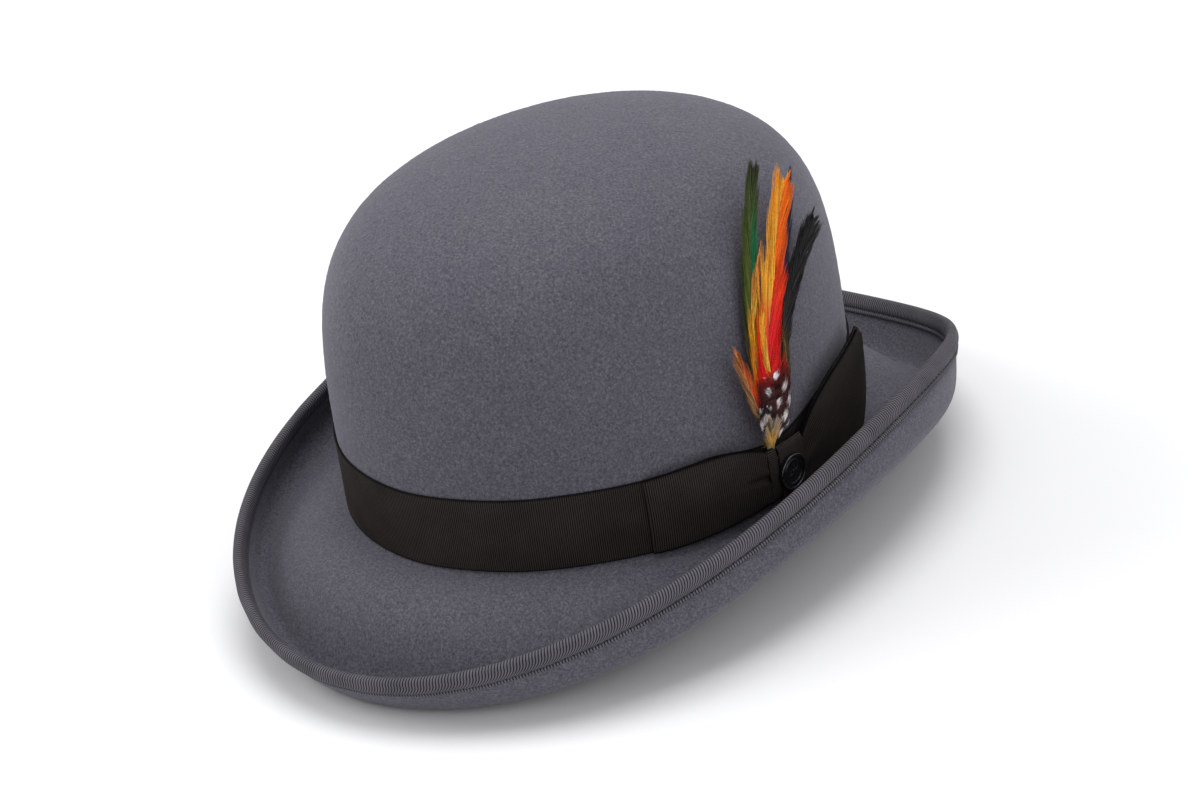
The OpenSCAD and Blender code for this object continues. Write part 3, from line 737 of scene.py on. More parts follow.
def make_front_loop():
    ribs = 66
    u = np.linspace(1, 0, 5 * ribs)
    round_fold = np.linspace(0, np.pi, 9)[1:-1]
    v = np.linspace(0, 1, 41)[None]
    half = 0.32
    t_ribbon = 0.34

    def layer(side, uu, extra):
        uu = uu[:, None]
        foot, top = front_height(uu)
        t = mix(FOLD, LOOP_TIE, uu) + 0.25 * np.sin(3.3 * v + 0.4) * (1 - uu) ** 6
        spread = half + 0.15 * np.sin(np.pi * uu)
        return wall(t, mix(foot, top, v), loop_middle(uu, v) + side * spread + extra)

    h_out = (0.16 * (rib(u * ribs) - 0.3))[:, None] * selvedge(v, 0.015)
    front = layer(1, u, h_out + t_ribbon / 2)
    front_in = layer(1, u, -t_ribbon / 2)
    rear = layer(-1, u[::-1], -t_ribbon / 2)
    rear_in = layer(-1, u[::-1], t_ribbon / 2)
    outer_bend, inner_bend = [], []
    zero = np.zeros(1)
    for a in round_fold:
        for r, keepers in ((half + t_ribbon / 2, outer_bend), (max(half - t_ribbon / 2, 0.08), inner_bend)):
            foot, top = front_height(zero[:, None])
            t = FOLD + 0.25 * np.sin(3.3 * v + 0.4) - r * np.sin(a) * 1.5 / MM_PER_DEG
            keepers.append(wall(t, mix(foot, top, v), loop_middle(zero[:, None], v) + r * np.cos(a)))
    out = np.concatenate([front] + outer_bend + [rear])
    inn = np.concatenate([front_in] + inner_bend + [rear_in])
    # painted shade in each rib groove; the fold gets a flat 0.8
    rib_shading = np.concatenate([rib(u * ribs), np.full(len(outer_bend), 0.8), rib(u[::-1] * ribs)])
    rib_shading = rib_shading[:, None] * selvedge(v)
    return shell("bow_loop_ribbon", out.transpose(1, 0, 2)[:, ::-1], inn.transpose(1, 0, 2)[:, ::-1], BAND,
                 tone=rib_shading.T[:, ::-1])


loop = own(make_front_loop(), "hat", "band_ribbon", "bow_front_loop")

TAIL_START = BADGE_T + GAP


def tail_shape(lift=0.0, rise=0.0, longer=0.0):
    def shape(u, v):
        u, v = np.broadcast_arrays(u, v)
        top = 13.8 + 26.7 * (1 - (1 - u) ** 4.5) + rise * smooth(0.05, 0.4, u)
        foot = 6 - 4 * u
        fray = (0.16 * np.sin(v * 61) + 0.12 * np.sin(v * 137 + 1)) * (u > 0.995)
        t = TAIL_START + u * (mix(28.0, 31.0, v) + longer - TAIL_START + 12 * np.sin(np.pi * v)) + fray
        near = 1 - smooth(0.0, 0.3, u)
        folds = 0.32 * np.sin(2 * np.pi * (2.2 * v + 0.3)) * near
        curl = 0.7 * smooth(0.75, 1.0, u) * smooth(0.5, 1.0, v)
        return t, mix(foot, top, v), LOOP_OFF + 1.0 * np.sin(np.pi * u) + lift + folds + curl
    return shape


tail = ribbon_strip("bow_tail_ribbon", tail_shape(0.32, -1.0, -0.5), 485, 44, 0.42, 97, 0.16)
own(tail, "hat", "band_ribbon", "bow_rear_tail")
under = ribbon_strip("bow_tail_under", tail_shape(-0.5), 485, 44, 0.42, 97, 0.16)
own(under, "hat", "band_ribbon")


def make_tail_threads():
    """Loose threads at the ribbon's cut edges."""
    rng = np.random.default_rng(7)
    n = 46
    v = rng.uniform(0.02, 0.98, n)
    s = tail_shape(0.0)
    t, z, off = s(np.full(n, 0.998), v)
    root = wall(t, z, off + rng.uniform(-0.3, 0.4, n))
    n2 = 22
    u2 = rng.uniform(0.25, 1.0, n2)
    t2, z2, off2 = s(u2, np.full(n2, 0.999))
    root2 = wall(t2, z2, off2 + rng.uniform(-0.3, 0.4, n2))
    root = np.concatenate([root, root2])
    out = oval_normal(np.concatenate([t, t2]))
    outward = np.stack([out[:, 0], out[:, 1], 0 * out[:, 0]], -1)
    along = np.stack([-out[:, 1], out[:, 0], 0 * out[:, 0]], -1)
    away = np.concatenate([along[:n] + [0, 0, 0.25], along[n:] * 0.25 + [0, 0, 1.0]])
    length = np.concatenate([rng.uniform(0.3, 1.3, n), rng.uniform(0.2, 0.8, n2)])[:, None, None]
    p = np.linspace(0, 1, 5)[None, :, None]
    curl = rng.uniform(-0.5, 0.5, (len(root), 1, 1))
    path = (root[:, None] + away[:, None] * p * length + outward[:, None] * (0.25 * p * p * length)
            + np.array([0, 0, 1.0]) * curl * p * p * length)
    width = np.broadcast_to(np.linspace(0.16, 0.07, 5), (len(root), 5))
    v_, f_ = strips(path, width, width, np.broadcast_to(outward[:, None], path.shape))
    return put_mesh("bow_tail_threads", v_, f_, BLACK_THREAD)


own(make_tail_threads(), "hat", "band_ribbon")


def make_knot():
    """A ribbon wrapped over the bow, open at the back; its ribs run across the wrap."""
    foot, top, ribs, lean, folds = 2, 25.6, 38, 1.6, 0.30
    bend = [(1, 0.0), (0.2, 0.3), (0.5, 0.7), (1.8, 0.93), (4.5, 1.0)]
    h = np.array([(top - a, mix(KNOT_BACK, KNOT_OFF, f)) for a, f in bend] + [(mix(foot, top, 0.5), KNOT_OFF)]
                 + [(foot + a, mix(KNOT_BACK, KNOT_OFF, f)) for a, f in bend[::-1]])
    step = np.concatenate([[0], np.cumsum(np.linalg.norm(np.diff(h, axis=0), axis=1))])
    step /= step[-1]
    s = np.linspace(0, 1, ribs * 6 + 1)
    z, o = (np.convolve(np.pad(np.interp(s, step, q), 4, mode="edge"), np.ones(9) / 9, "valid") for q in h.T)
    dz, do = np.gradient(z), np.gradient(o)
    size = np.hypot(dz, do)
    nz, no = -do / size, -dz / size
    w = np.linspace(-1, 1, 33)
    phase = s[:, None] * ribs + lean * w[None]
    relief = 0.13 * (rib(phase) - 0.4)
    relief = relief + folds * (np.cos(w * np.pi * 2.2) - 0.4)[None] * 0.5 * np.sin(np.pi * s)[:, None] ** 0.5
    relief = relief * (1 - 0.8 * np.abs(w[None]) ** 12)
    t = KNOT + w[None] * KNOT_HALF * (1 - 0.05 * np.sin(np.pi * s)[:, None])

    def face(inset):
        d = relief - inset
        return wall(t, z[:, None] + nz[:, None] * d, o[:, None] + no[:, None] * d)

    # the tone rib(phase) paints shade into the grooves between the wrap's ribs
    return shell("bow_knot_wrap", face(0.0), face(0.5), BAND, tone=rib(phase))


KNOT_HALF = 6.5 / MM_PER_DEG
knot = make_knot()
own(knot, "hat", "band_ribbon", "bow_knot")


def strip_shape(u, v):
    end = KNOT - KNOT_HALF - 0.3
    t = end - 2.2 + 2.2 * v + 0.10 * np.sin(6 * u)
    drop = 1.3 * np.abs(2 * u - 1) ** 8
    return t, mix(4.9, 25.9, u), KNOT_OFF - 0.45 + 0.22 * np.sin(np.pi * v) - drop


def make_fold_strip():
    """A narrow fold of ribbon beside the knot, its ribs across it."""
    ribs = 28
    u = np.linspace(0, 1, ribs * 6 + 1)[:, None]
    v = np.linspace(0, 1, 17)[None]
    t, z, off = np.broadcast_arrays(*strip_shape(u, v))
    h = rib(u * ribs + 0.5 * v)
    out, back = wall(t, z, off + 0.25 + 0.12 * (h - 0.3)), wall(t, z, off - 0.25 + 0 * h)
    # h, as tone, paints shade into the strip's rib grooves
    return shell("bow_fold_strip", out, back, BAND, tone=h)


strip = own(make_fold_strip(), "hat", "band_ribbon", "bow_knot_strip")


# ---------------------------------------------------------------- badge
def badge_frame():
    n = oval_normal(np.array(BADGE_T))
    p = wall(BADGE_T, BADGE_Z, KNOT_OFF)
    z = np.array([n[0], n[1], 0.0])
    x = np.array([0.0, 0.0, -1.0])
    return p, x, np.cross(z, x), z


BP, BX, BY, BZ = badge_frame()


def circles(r, z, a):
    """Points at the angles a of circles about the badge's axis, of radius r and height z."""
    x, y, z = np.broadcast_arrays(r[:, None] * np.cos(a), r[:, None] * np.sin(a), z)
    return BP + x[..., None] * BX + y[..., None] * BY + z[..., None] * BZ


def disc_relief(r, a):
    """Plain generic relief: a smooth raised ring round an eight-petalled rosette."""
    ring = 0.32 * np.exp(-((r - 4.55) / 0.26) ** 4)
    petals = 0.30 * smooth(0.7, 1.4, r) * (1 - smooth(2.6, 3.6, r)) * np.abs(np.cos(4 * a)) ** 0.8
    dome = 0.38 * np.exp(-(r / 0.75) ** 4)
    dish = -0.10 * np.sin(np.pi * np.clip(r / 5.7, 0, 1))
    return ring + petals + dome + dish


def make_disc():
    radii = np.concatenate([[0.03], np.linspace(0.15, 5.75, 66)])
    a = np.arange(144) / 144 * TURN
    top = circles(radii, 1.5 + disc_relief(radii[:, None], a[None]), a)
    back = circles(np.array([0.03, 3.0, 5.75]), 0.3, a)
    return shell("badge_face", top, back, BADGE, ring=True, capped=True, sharp=60)


def make_rim():
    arc = [(6.22 + 0.47 * math.cos(x), 1.72 + 0.47 * math.sin(x)) for x in np.linspace(-0.5, math.pi + 0.25, 16)]
    profile = np.array([(5.8, 0.3), (6.55, 0.3), (6.67, 0.7)] + arc)
    a = np.arange(128) / 128 * TURN
    quads = np.stack(closed_corners(len(profile), len(a)), -1).reshape(-1, 4)
    return put_mesh("badge_ring", circles(profile[:, 0], profile[:, 1][:, None], a), quads, RIM, sharp=50)


own(make_disc(), "badge", "badge_metal", "badge_disc", "badge_boss")
own(make_rim(), "badge", "badge_metal", "badge_rim")
keep("badge_post", STEEL)
keep("badge_clutch", BRASS)


# ---------------------------------------------------------------- feathers
ROOT_X, LAYER_STEP, LEAN_START, LEAN_TOP = 91.4, 0.5, 40.0, 15.0


def lift_to_layer(k, y, z, extra=0.0):
    x = ROOT_X + k * LAYER_STEP - LEAN_TOP * (np.maximum(0, z - LEAN_START) / 80) ** 2
    return np.stack([x + extra, y, z + BREAK_Z], -1)


def along(points, s):
    p = [np.array(q, float) for q in points]
    s = s[..., None]
    return (1 - s) ** 2 * p[0] + 2 * s * (1 - s) * p[1] + s * s * p[2]


def stops(s, table):
    """Colour along a feather: table of [where, colour]."""
    at = [q[0] for q in table]
    return np.stack([np.interp(s, at, [q[1][c] for q in table]) for c in range(3)], -1)


def width_at(s, half, kind):
    if kind == "blade":
        return half * np.minimum(1, (s + 0.02) / 0.16) ** 0.7 * np.clip((1.02 - s) / 0.34, 0.0, 1) ** 0.85
    if kind == "lance":
        return half * np.minimum(1, (s + 0.05) / 0.20) ** 0.7 * np.clip((1.04 - s) / 0.62, 0.0, 1) ** 0.9
    if kind == "wide":
        return half * np.minimum(1, (s + 0.08) / 0.25) ** 0.6 * np.clip((1.03 - s) / 0.14, 0.0, 1) ** 0.6
    return half * np.minimum(1, (s + 0.1) / 0.3) * np.clip((1.05 - s) / 0.5, 0.1, 1)


def drift(rng, n, span):
    """Noise along a row of n, alike over about span neighbours."""
    kernel = np.hanning(2 * span + 3)
    w = np.convolve(rng.standard_normal(n + 6 * span + 6), kernel, "same")[3 * span + 3:3 * span + 3 + n]
    return w / math.sqrt((kernel ** 2).sum())


def feather(name, node, k, curve, half, kind, slot, left, right, spacing=0.30, angle=16, barb=11.0,
            barb_w=0.36, ragged=0.25, shaft=((0.5, 0.42, 0.25), (0.3, 0.2, 0.1)), seed=1, shaft_r=0.22,
            spots=None, lift=0.12, tip=1.6, streak=0.30):
    """Barbs leave the shaft at a low angle, cling in bundles, and part at the ends."""
    rng = np.random.default_rng(seed)
    fine = np.linspace(0, 1, 400)
    pts = along(curve, fine)
    arc = np.concatenate([[0], np.cumsum(np.linalg.norm(np.diff(pts, axis=0), axis=1))])
    total = arc[-1]
    n = int(total / spacing)
    bundle = max(2, int(0.9 / spacing))
    parts, tints = [], []
    for side, table in ((-1, left), (1, right)):
        s0 = (np.arange(n) + rng.uniform(0, 0.6, n)) / n * 0.985
        split = drift(rng, n, bundle)
        reach = width_at(s0, half, kind) * (1 + ragged * (0.30 * split + rng.uniform(-0.35, 0.35, n)))
        p = np.linspace(0, 1, 7)
        ang = math.radians(angle) * (1 + 0.16 * split + 0.08 * rng.standard_normal(n))
        length = barb * (1 + 0.20 * drift(rng, n, bundle) + 0.08 * rng.standard_normal(n))
        length = np.minimum(length, reach / np.sin(ang) * 1.3)
        length = np.minimum(length, (1 - s0) * total + tip * (0.3 + 0.9 * drift(rng, n, bundle)))
        length = np.maximum(length, 0.6)
        run = length[:, None] * p[None]
        out = np.minimum(reach[:, None] * (1 - (1 - p[None]) ** 1.7), run * np.tan(ang)[:, None] * 1.25)
        where = np.clip((s0[:, None] * total + np.sqrt(np.maximum(run ** 2 - out ** 2, 0))) / total, 0, None)
        inside = np.clip(where, 0, 1)
        spine = np.stack([np.interp(inside, arc / total, q) for q in pts.T], -1)
        here = np.interp(inside, arc / total, fine)
        d = unit(along(curve, np.clip(here + 0.01, 0, 1)) - along(curve, np.clip(here - 0.01, 0, 1)))
        past = (where - inside) * total
        flat = spine + d * past[..., None] + side * np.stack([d[..., 1], -d[..., 0]], -1) * out[..., None]
        wob = drift(rng, n, bundle)[:, None] * 1.1 + rng.uniform(-0.5, 0.5, (n, 1))
        wob = lift * wob * (0.4 + p[None]) + 0.08
        path = lift_to_layer(k, flat[..., 0], flat[..., 1], np.clip(wob, -0.35, 0.6))
        w = barb_w * (1 - 0.90 * p[None] ** 1.6) * np.ones((n, 1))
        v, f = strips(path, w, np.full_like(w, 0.07), np.broadcast_to(np.array([0.12, 1.0, 0.0]), path.shape))
        c = stops(where, table)
        if spots is not None:
            c = spots(c, where, side * out / half)
        tone = 1 + streak * drift(rng, n, bundle) + 0.12 * rng.standard_normal(n)
        c = c * np.clip(tone, 0.3, 1.8)[:, None, None]
        tints.append(np.repeat(c.reshape(-1, 3), 4, 0))
        parts.append((v, f))
    s = np.linspace(0, 0.97, 40)
    mid = along(curve, s)
    r = shaft_r * (1.05 - 0.85 * s)
    path = lift_to_layer(k, mid[:, 0], mid[:, 1], 0.10)[None]
    v, f = strips(path, (2 * r)[None], (2 * r)[None], np.broadcast_to(np.array([0.0, 1.0, 0.0]), path.shape))
    parts.append((v, f))
    tints.append(np.repeat(stops(s, [(0, shaft[0]), (1, shaft[1])]), 4, 0))
    v, f = merge(parts)
    obj = put_mesh(name, v, f, VANE, colour=np.clip(np.concatenate(tints), 0.002, 1))
    return own(obj, "feather_spray", slot, *([node] if node else []))


def all_along(c):
    return [(0, c), (1, c)]


GREEN, OLIVE, BROWN = (0.008, 0.170, 0.055), (0.040, 0.055, 0.012), (0.060, 0.035, 0.018)
ORANGE, AMBER = (0.90, 0.170, 0.004), (0.95, 0.40, 0.030)
RED, DEEP = (0.74, 0.006, 0.008), (0.26, 0.004, 0.006)
GOLD, NAVY = (0.70, 0.38, 0.06), (0.008, 0.011, 0.050)
INK, SMOKE = (0.0030, 0.0030, 0.0033), (0.012, 0.0115, 0.012)
RUST, CREAM = (0.62, 0.10, 0.015), (0.62, 0.54, 0.46)

feather("feather_navy", "blue_feather", 0, ([-9, 31], [4, 75.5], [33.5, 113]), 1.7, "blade", "blue_vane",
        all_along(NAVY), all_along((0.025, 0.028, 0.06)), spacing=0.22, angle=9, barb=12, barb_w=0.30, seed=3,
        shaft=((0.05, 0.04, 0.04), NAVY), ragged=0.6)
feather("feather_black", "black_feather", 1, ([-9, 31], [-1.5, 72], [35.5, 93.3]), 3.9, "wide", "black_vane",
        [(0, (0.3, 0.06, 0.02)), (0.38, (0.10, 0.03, 0.015)), (0.5, INK), (1, INK)],
        [(0, (0.25, 0.08, 0.02)), (0.38, (0.05, 0.04, 0.02)), (0.5, SMOKE), (1, SMOKE)],
        spacing=0.15, angle=11, barb=16, barb_w=0.36, ragged=0.30, seed=4,
        shaft=((0.2, 0.1, 0.04), INK), tip=1.4, streak=0.5)
feather("feather_olive", "olive_feather", 2, ([-13.5, 31], [-22, 81], [10.5, 117.5]), 2.8, "lance", "olive_vane",
        [(0, GOLD), (0.45, OLIVE), (1, OLIVE)], [(0, GOLD), (0.5, OLIVE), (1, BROWN)], spacing=0.30, angle=10,
        barb=15, barb_w=0.20, ragged=0.9, seed=5, streak=0.45)
feather("feather_side", "side_hackle", 3, ([-8, 31], [1.5, 45], [2.5, 66.5]), 1.9, "lance", "brown_vane",
        [(0, CREAM), (0.4, (0.20, 0.06, 0.02)), (1, (0.06, 0.07, 0.02))],
        [(0, (0.3, 0.2, 0.1)), (0.5, (0.05, 0.08, 0.02)), (1, (0.08, 0.03, 0.01))], spacing=0.24, angle=13,
        barb=9, barb_w=0.18, ragged=0.8, seed=6)
feather("feather_green", "green_feather", 4, ([-14, 31], [-21, 82.5], [14.5, 121]), 3.3, "blade", "green_vane",
        [(0, ORANGE), (0.42, (0.30, 0.20, 0.02)), (0.52, (0.085, 0.110, 0.016)), (0.8, (0.060, 0.085, 0.016)),
         (1, (0.030, 0.035, 0.012))],
        [(0, RED), (0.40, (0.40, 0.22, 0.02)), (0.50, GREEN), (0.74, GREEN), (0.86, (0.045, 0.075, 0.014)),
         (1, (0.030, 0.028, 0.012))],
        spacing=0.14, angle=8, barb=18, barb_w=0.36, ragged=0.4, seed=7,
        shaft=((0.4, 0.2, 0.05), (0.02, 0.03, 0.01)), tip=0.9, streak=0.25)
feather("feather_amber", "yellow_feather", 5, ([-15, 33], [-22.5, 69.5], [1, 95.5]), 1.8, "lance", "yellow_vane",
        [(0, DEEP), (0.3, ORANGE), (0.6, (0.88, 0.38, 0.02)), (1, (0.70, 0.30, 0.10))],
        [(0, RED), (0.40, ORANGE), (0.7, (0.90, 0.42, 0.03)), (1, (0.72, 0.20, 0.06))], spacing=0.18, angle=8,
        barb=17, barb_w=0.28, ragged=1.0, seed=8, tip=3, streak=0.4)
feather("feather_orange", "orange_feather", 6, ([-12.5, 31], [-10, 80], [25, 112]), 4.7, "wide", "orange_vane",
        [(0, RED), (0.46, RED), (0.54, ORANGE), (0.62, AMBER), (0.82, AMBER), (1, (0.93, 0.33, 0.012))],
        [(0, RED), (0.44, RED), (0.56, (0.86, 0.085, 0.004)), (0.8, (0.88, 0.13, 0.005)), (1, ORANGE)],
        spacing=0.11, angle=8, barb=22, barb_w=0.40, ragged=0.40, seed=21,
        shaft=(RED, AMBER), tip=1.5, streak=0.24)
feather("feather_rust", "rust_hackle", 7, ([-16, 31], [-23.5, 51], [-26.5, 71.5]), 2.3, "lance", "rust_vane",
        [(0, BROWN), (0.4, (0.34, 0.18, 0.07)), (1, (0.50, 0.17, 0.05))],
        [(0, (0.35, 0.02, 0.02)), (0.35, (0.70, 0.015, 0.010)), (0.6, RUST), (1, (0.60, 0.17, 0.03))],
        spacing=0.16, angle=12, barb=14, barb_w=0.18, ragged=1.0, seed=10, tip=4, streak=0.5)
feather("feather_red", "red_feather", 8, ([-14, 32], [-16, 63], [3, 86]), 6.8, "wide", "red_vane",
        [(0, DEEP), (0.2, (0.66, 0.006, 0.008)), (0.58, (0.78, 0.012, 0.006)), (0.74, (0.86, 0.09, 0.006)),
         (0.88, AMBER), (1, AMBER)],
        [(0, DEEP), (0.2, RED), (0.72, RED), (1, (0.84, 0.05, 0.006))],
        spacing=0.10, angle=8, barb=28, barb_w=0.42, ragged=0.6, seed=11,
        shaft=(DEEP, RED), tip=4.5, streak=0.22)
feather("feather_yellow_tip", None, 8.7, ([-11.5, 48], [-15.5, 63], [-9, 77]), 1.5, "blade", "yellow_vane",
        all_along((0.88, 0.34, 0.02)), all_along((0.92, 0.44, 0.05)), spacing=0.14, angle=8, barb=8, barb_w=0.28,
        ragged=0.3, seed=31, tip=0.8, streak=0.25, shaft_r=0.12, shaft=(AMBER, AMBER))


def guinea_spots(c, where, across):
    """Pale round dots in rows on a dark maroon ground."""
    dots = [(0.73, -0.42), (0.50, 0.20), (0.27, 0.60), (0.06, 0.25), (0.09, 0.78), (0.99, -0.55), (0.88, 0.20),
            (0.68, 0.72), (0.47, 0.95), (0.20, -0.30), (0.40, -0.75)]
    for a, b in dots:
        d = np.hypot((where - a) * 27.0 / 1.55, (across - b) * 8.2 / 1.35)
        c = np.where((d < 1)[..., None], np.array([0.86, 0.78, 0.78]), c)
    return c


GUINEA = [(0, (0.022, 0.004, 0.005)), (0.7, (0.050, 0.004, 0.005)), (0.9, (0.20, 0.006, 0.007)), (1, RED)]
feather("feather_guinea", "guinea_feather", 9.5, ([-14, 30.5], [-12, 43], [-11.5, 57]), 8.2, "wide",
        "guinea_vane", GUINEA, GUINEA, spacing=0.07, angle=34, barb=13, barb_w=0.32, ragged=0.25, seed=12,
        shaft=((0.02, 0.01, 0.01), DEEP),
        spots=guinea_spots, lift=0.05, tip=3, streak=0.25)


def bars(_, where, across):
    """Dark and pale bars, whatever the colour beneath."""
    dark = np.sin(where * 15 + np.abs(across) * 2.2) > 0.0
    return np.where(dark[..., None], np.array([0.012, 0.010, 0.010]), np.array([0.50, 0.44, 0.44]))


feather("feather_barred", "barred_feather", 10.5, ([-18, 32], [-20.5, 38.5], [-19.0, 45.5]), 2.9, "wide",
        "barred_vane", all_along(CREAM), all_along(CREAM), spacing=0.11, angle=20, barb=7, barb_w=0.28,
        ragged=0.4, seed=13, shaft=(CREAM, (0.02, 0.02, 0.02)), spots=bars, tip=0.6)
feather("feather_buff", "buff_tuft", 11.5, ([-18, 29], [-18.5, 34], [-17, 39]), 5.2, "tuft", "buff_down",
        [(0, (0.40, 0.20, 0.02)), (0.5, (0.42, 0.24, 0.06)), (1, (0.35, 0.24, 0.14))],
        [(0, (0.22, 0.14, 0.02)), (0.5, (0.45, 0.26, 0.08)), (1, (0.50, 0.42, 0.34))],
        spacing=0.05, angle=25, barb=8.5, barb_w=0.18, ragged=0.9, seed=14, shaft=(GOLD, GOLD), lift=0.35)
keep("feather_stem", QUILL)
keep("feather_tie", TIE)


# ---------------------------------------------------------------- inside the crown
SWEAT_GAP = 0.9


def make_sweatband():
    t = round_angles(432)
    v = np.concatenate([np.linspace(0, 0.96, 26), [0.985, 1.0]])
    z = mix(-0.3, 37.0, v)[:, None]
    base = -FELT_T - SWEAT_GAP - 2 * v[:, None]
    p = wall(t[None], z, base)
    wave = 0.35 * soft_noise(p, 26, 5.0) * v[:, None] ** 1.5 - 0.1
    line = 0.14 * np.exp(-((z - 33.6) / 0.35) ** 2)
    height = z + 0.35 * np.sin(np.radians(t) * 7)[None] * v[:, None]
    inner = wall(t[None], height, base - 1.1 + wave + line)
    outer = wall(t[None], height, base + wave * 0.5)
    return shell("sweatband_leather", inner, outer, LEATHER, ring=True)


sweat = own(make_sweatband(), "hat", "sweat_leather", "sweatband")


def make_sweat_stitches():
    t, _ = even_angles(190, 2.5, -4.6)
    p = wall(t, 2.4, -FELT_T - 2.28)
    d = wall(t + 0.3, 2.4, -4.6) - wall(t - 0.3, 2.4, -4.6)
    v, f = capsules(p, d, 2.2, 0.2)
    return put_mesh("sweatband_stitches", v, f, THREAD)


own(make_sweat_stitches(), "hat", "thread")
keep("sweatband_reed", REED)
keep("size_label", LABEL)
keep("tip_patch", PATCH)


def make_inner_patch(name, t0, t1, z0, z1, inset, thick, ribs):
    u = np.linspace(0, 1, ribs * 5 + 1)[None]
    v = np.linspace(0, 1, 24)[:, None]
    t, z = mix(t0, t1, u), mix(z0, z1, v)
    off = -FELT_T - SWEAT_GAP - 2 * (z + 0.3) / 37.3 - 1.2 - inset
    h = 0.07 * rib(v * 45)
    # the tone paints shade into the tape's rib grooves
    return shell(name, wall(t, z, off - thick - h), wall(t, z, off), BAND, tone=rib(v * 45))


tape = make_inner_patch("sweatband_tape", 86.6, 93.4, 1, 36, 0.2, 0.25, 8)
own(tape, "hat", "band_ribbon", "sweatband_seam_tape")


def make_small_bow():
    parts = []
    for s in (-1, 1):
        u = np.linspace(0, 1, 41)[None]
        v = np.linspace(-1, 1, 17)[:, None]
        a = s * mix(0.25, 7.0, u)
        half = mix(1.0, 3.4, u) - 0.5 * smooth(0.85, 1, u)
        off = -FELT_T - 2.9 - 1.2 - 0.15 - 1.3 - 0.5 * np.sin(np.pi * u) + 0.25 * np.sin(v * 5) * (1 - u)
        h = 0.05 * rib(u * 15)
        f1, f2 = wall(90 + a, 29 + v * half, off - 0.25 - h), wall(90 + a, 29 + v * half, off + 0.2)
        if s < 0:
            f1, f2 = f1[:, ::-1], f2[:, ::-1]
        parts.append((f1, f2))
    return parts


for i, (f1, f2) in enumerate(make_small_bow()):
    # the tone paints shade into the little bow's rib grooves
    o = shell("inner_bow_loop_%d" % (i + 1), f1, f2, BAND, tone=rib(np.linspace(0, 15, 41))[None])
    own(o, "hat", "band_ribbon", *(["sweatband_bow"] if i == 0 else []))


def make_lining_side():
    t = round_angles(720)
    z_low = np.linspace(6, 44, 20)
    f_high = np.linspace(np.degrees(np.arctan(47 / 115)), 48, 26)
    pleat = np.sin(np.radians(t) * 60 + 0.8 * np.sin(np.radians(t) * 7))

    def face(off):
        rows = [wall(t, z, off - 0.06 * pleat) for z in z_low]
        for f in f_high:
            g = float(smooth(24, 48, f))
            rows.append(crown(t, f, off - (0.06 + 0.22 * g) * pleat - 0.15 * g))
        return np.stack(rows)

    return shell("lining_satin_side", face(-3.05), face(-2.78), SATIN, ring=True)


side = own(make_lining_side(), "hat", "satin", "lining_side")


def make_lining_tip():
    t = round_angles(360)
    f = np.linspace(87, 50.5, 46)[:, None]

    def face(off):
        p = crown(t[None], f, off)
        return crown(t[None], f, off - 0.5 * soft_noise(p, 30, 2.0) * np.sin(np.pi * (f - 50) / 38)
                     - 0.12 * np.sin(np.radians(t) * 90)[None] * (1 - smooth(51, 58, f)))

    return shell("lining_satin_tip", face(-5.3), face(-5.02), SATIN, ring=True, capped=True)


tip = own(make_lining_tip(), "hat", "satin", "lining_tip")


def make_cord_ring():
    cols, sides = 1100, 10
    path = crown(round_angles(cols), 48.5, -3.9)
    g = unit(np.roll(path, -1, 0) - np.roll(path, 1, 0))
    a = unit(np.cross(g, np.array([0, 0, 1.0])))
    b = np.cross(g, a)
    ang = np.arange(sides) / sides * TURN
    s = np.arange(cols) / cols * 170 * TURN
    r = 0.5 + 0.13 * np.cos(2 * (ang[None] - s[:, None]))
    pts = path[:, None] + r[..., None] * (np.cos(ang)[None, :, None] * a[:, None]
                                          + np.sin(ang)[None, :, None] * b[:, None])
    here, on, on_down, down = closed_corners(cols, sides)
    q = np.stack([here, down, on_down, on], -1).reshape(-1, 4)
    return put_mesh("lining_cord", pts, q, thread_material("cord_silk", (0.030, 0.026, 0.030)))


own(make_cord_ring(), "hat", "satin", "lining_piping")


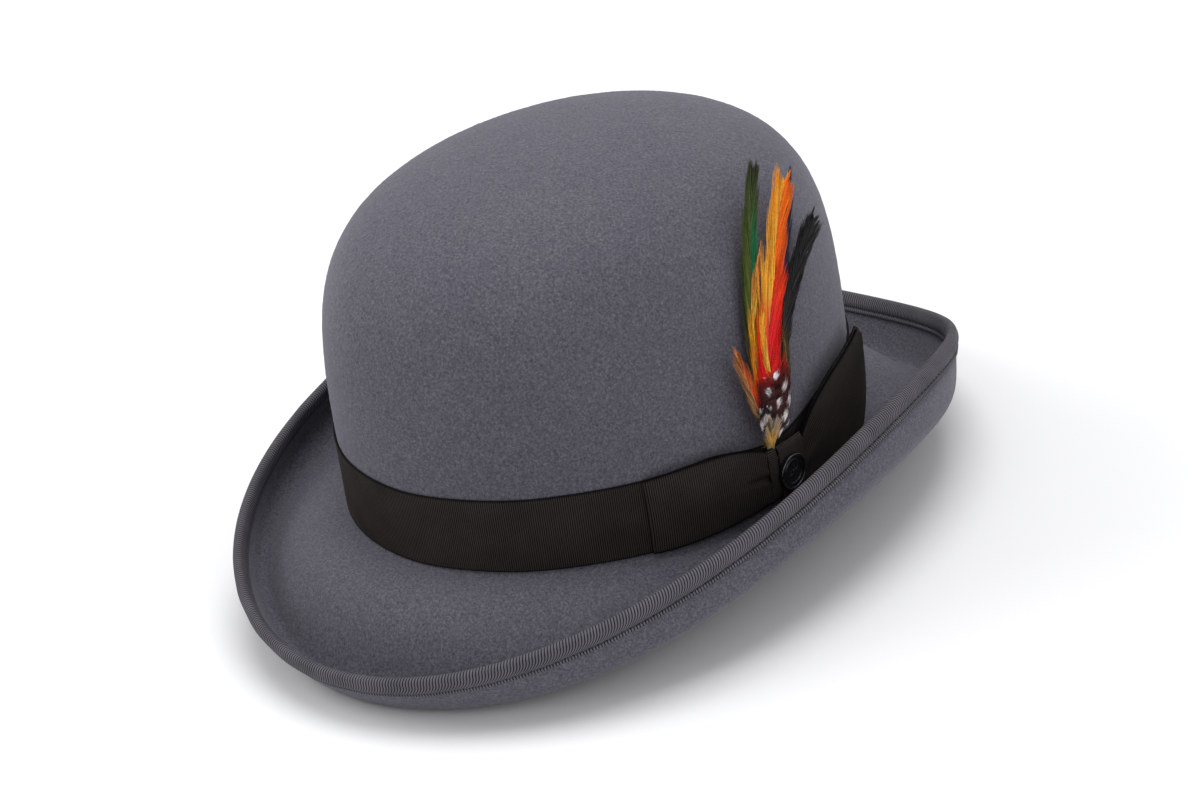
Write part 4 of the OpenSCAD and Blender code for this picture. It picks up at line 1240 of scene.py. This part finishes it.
# ---------------------------------------------------------------- stage, light and camera
def make_stage():
    s = 4.0
    v = np.array([[-s, -s, 0], [s, -s, 0], [s, s, 0], [-s, s, 0]]) / MM
    m = Nodes("pale_floor")
    n = m.noise(3.0, 2.0, 0.5)
    mat = m.finish(m.ramp(n, [(0.3, (0.88, 0.88, 0.89)), (0.7, (0.90, 0.90, 0.90))]), None, 0.9,
                   Specular_IOR_Level=0.2)
    floor = put_mesh("studio_floor", v, np.array([[0, 1, 2, 3]]), mat, smooth_faces=False)


def area_light(name, at, aim, size, power):
    data = bpy.data.lights.new(name, "AREA")
    data.shape = "DISK"
    data.size = size
    data.energy = power
    obj = bpy.data.objects.new(name, data)
    bpy.context.scene.collection.objects.link(obj)
    obj.location = at
    obj.rotation_euler = (Vector(aim) - Vector(at)).to_track_quat("-Z", "Y").to_euler()


def make_lights():
    world = bpy.data.worlds.new("studio")
    bpy.context.scene.world = world
    world.use_nodes = True
    bg = world.node_tree.nodes["Background"]
    bg.inputs["Color"].default_value = (0.97, 0.98, 1.0, 1)
    bg.inputs["Strength"].default_value = 0.60
    area_light("key_soft", (-1.9, -1.1, 1.8), (0, 0, 0.08), 1.5, 20)
    area_light("top_soft", (-0.1, 0.5, 2.6), (0, 0, 0.05), 2.0, 38)
    area_light("side_soft", (2.2, -0.7, 1.5), (0, 0, 0.08), 1.4, 9)
    bpy.context.scene.view_settings.view_transform = "Standard"
    bpy.context.scene.view_settings.look = "None"


def make_camera():
    """The camera that fits the photograph: where it is round the hat, and how it's turned and shifted."""
    az, el, roll = (math.radians(a) for a in (43.24, 25.36, 9.12))
    look, distance, shift_x, shift_y, lens = Vector((0, 0, 0.0789)), 1.2, 0.00548, 0.0276, 97.3
    back = Vector((math.sin(az) * math.cos(el), -math.cos(az) * math.cos(el), math.sin(el)))
    right = Vector((math.cos(az), math.sin(az), 0))
    up = back.cross(right)
    right_r = right * math.cos(roll) - up * math.sin(roll)
    up_r = up * math.cos(roll) + right * math.sin(roll)
    at = look + back * distance
    target = look + right_r * shift_x - up_r * shift_y
    z = (at - target).normalized()
    x = up_r.cross(z).normalized()
    y = z.cross(x)
    data = bpy.data.cameras.new("camera")
    data.lens = lens
    data.sensor_width = 36
    data.clip_start = 0.05
    cam = bpy.data.objects.new("camera", data)
    bpy.context.scene.collection.objects.link(cam)
    cam.matrix_world = Matrix((x, y, z)).transposed().to_4x4()
    cam.location = at
    bpy.context.scene.camera = cam


make_stage()
make_lights()
make_camera()
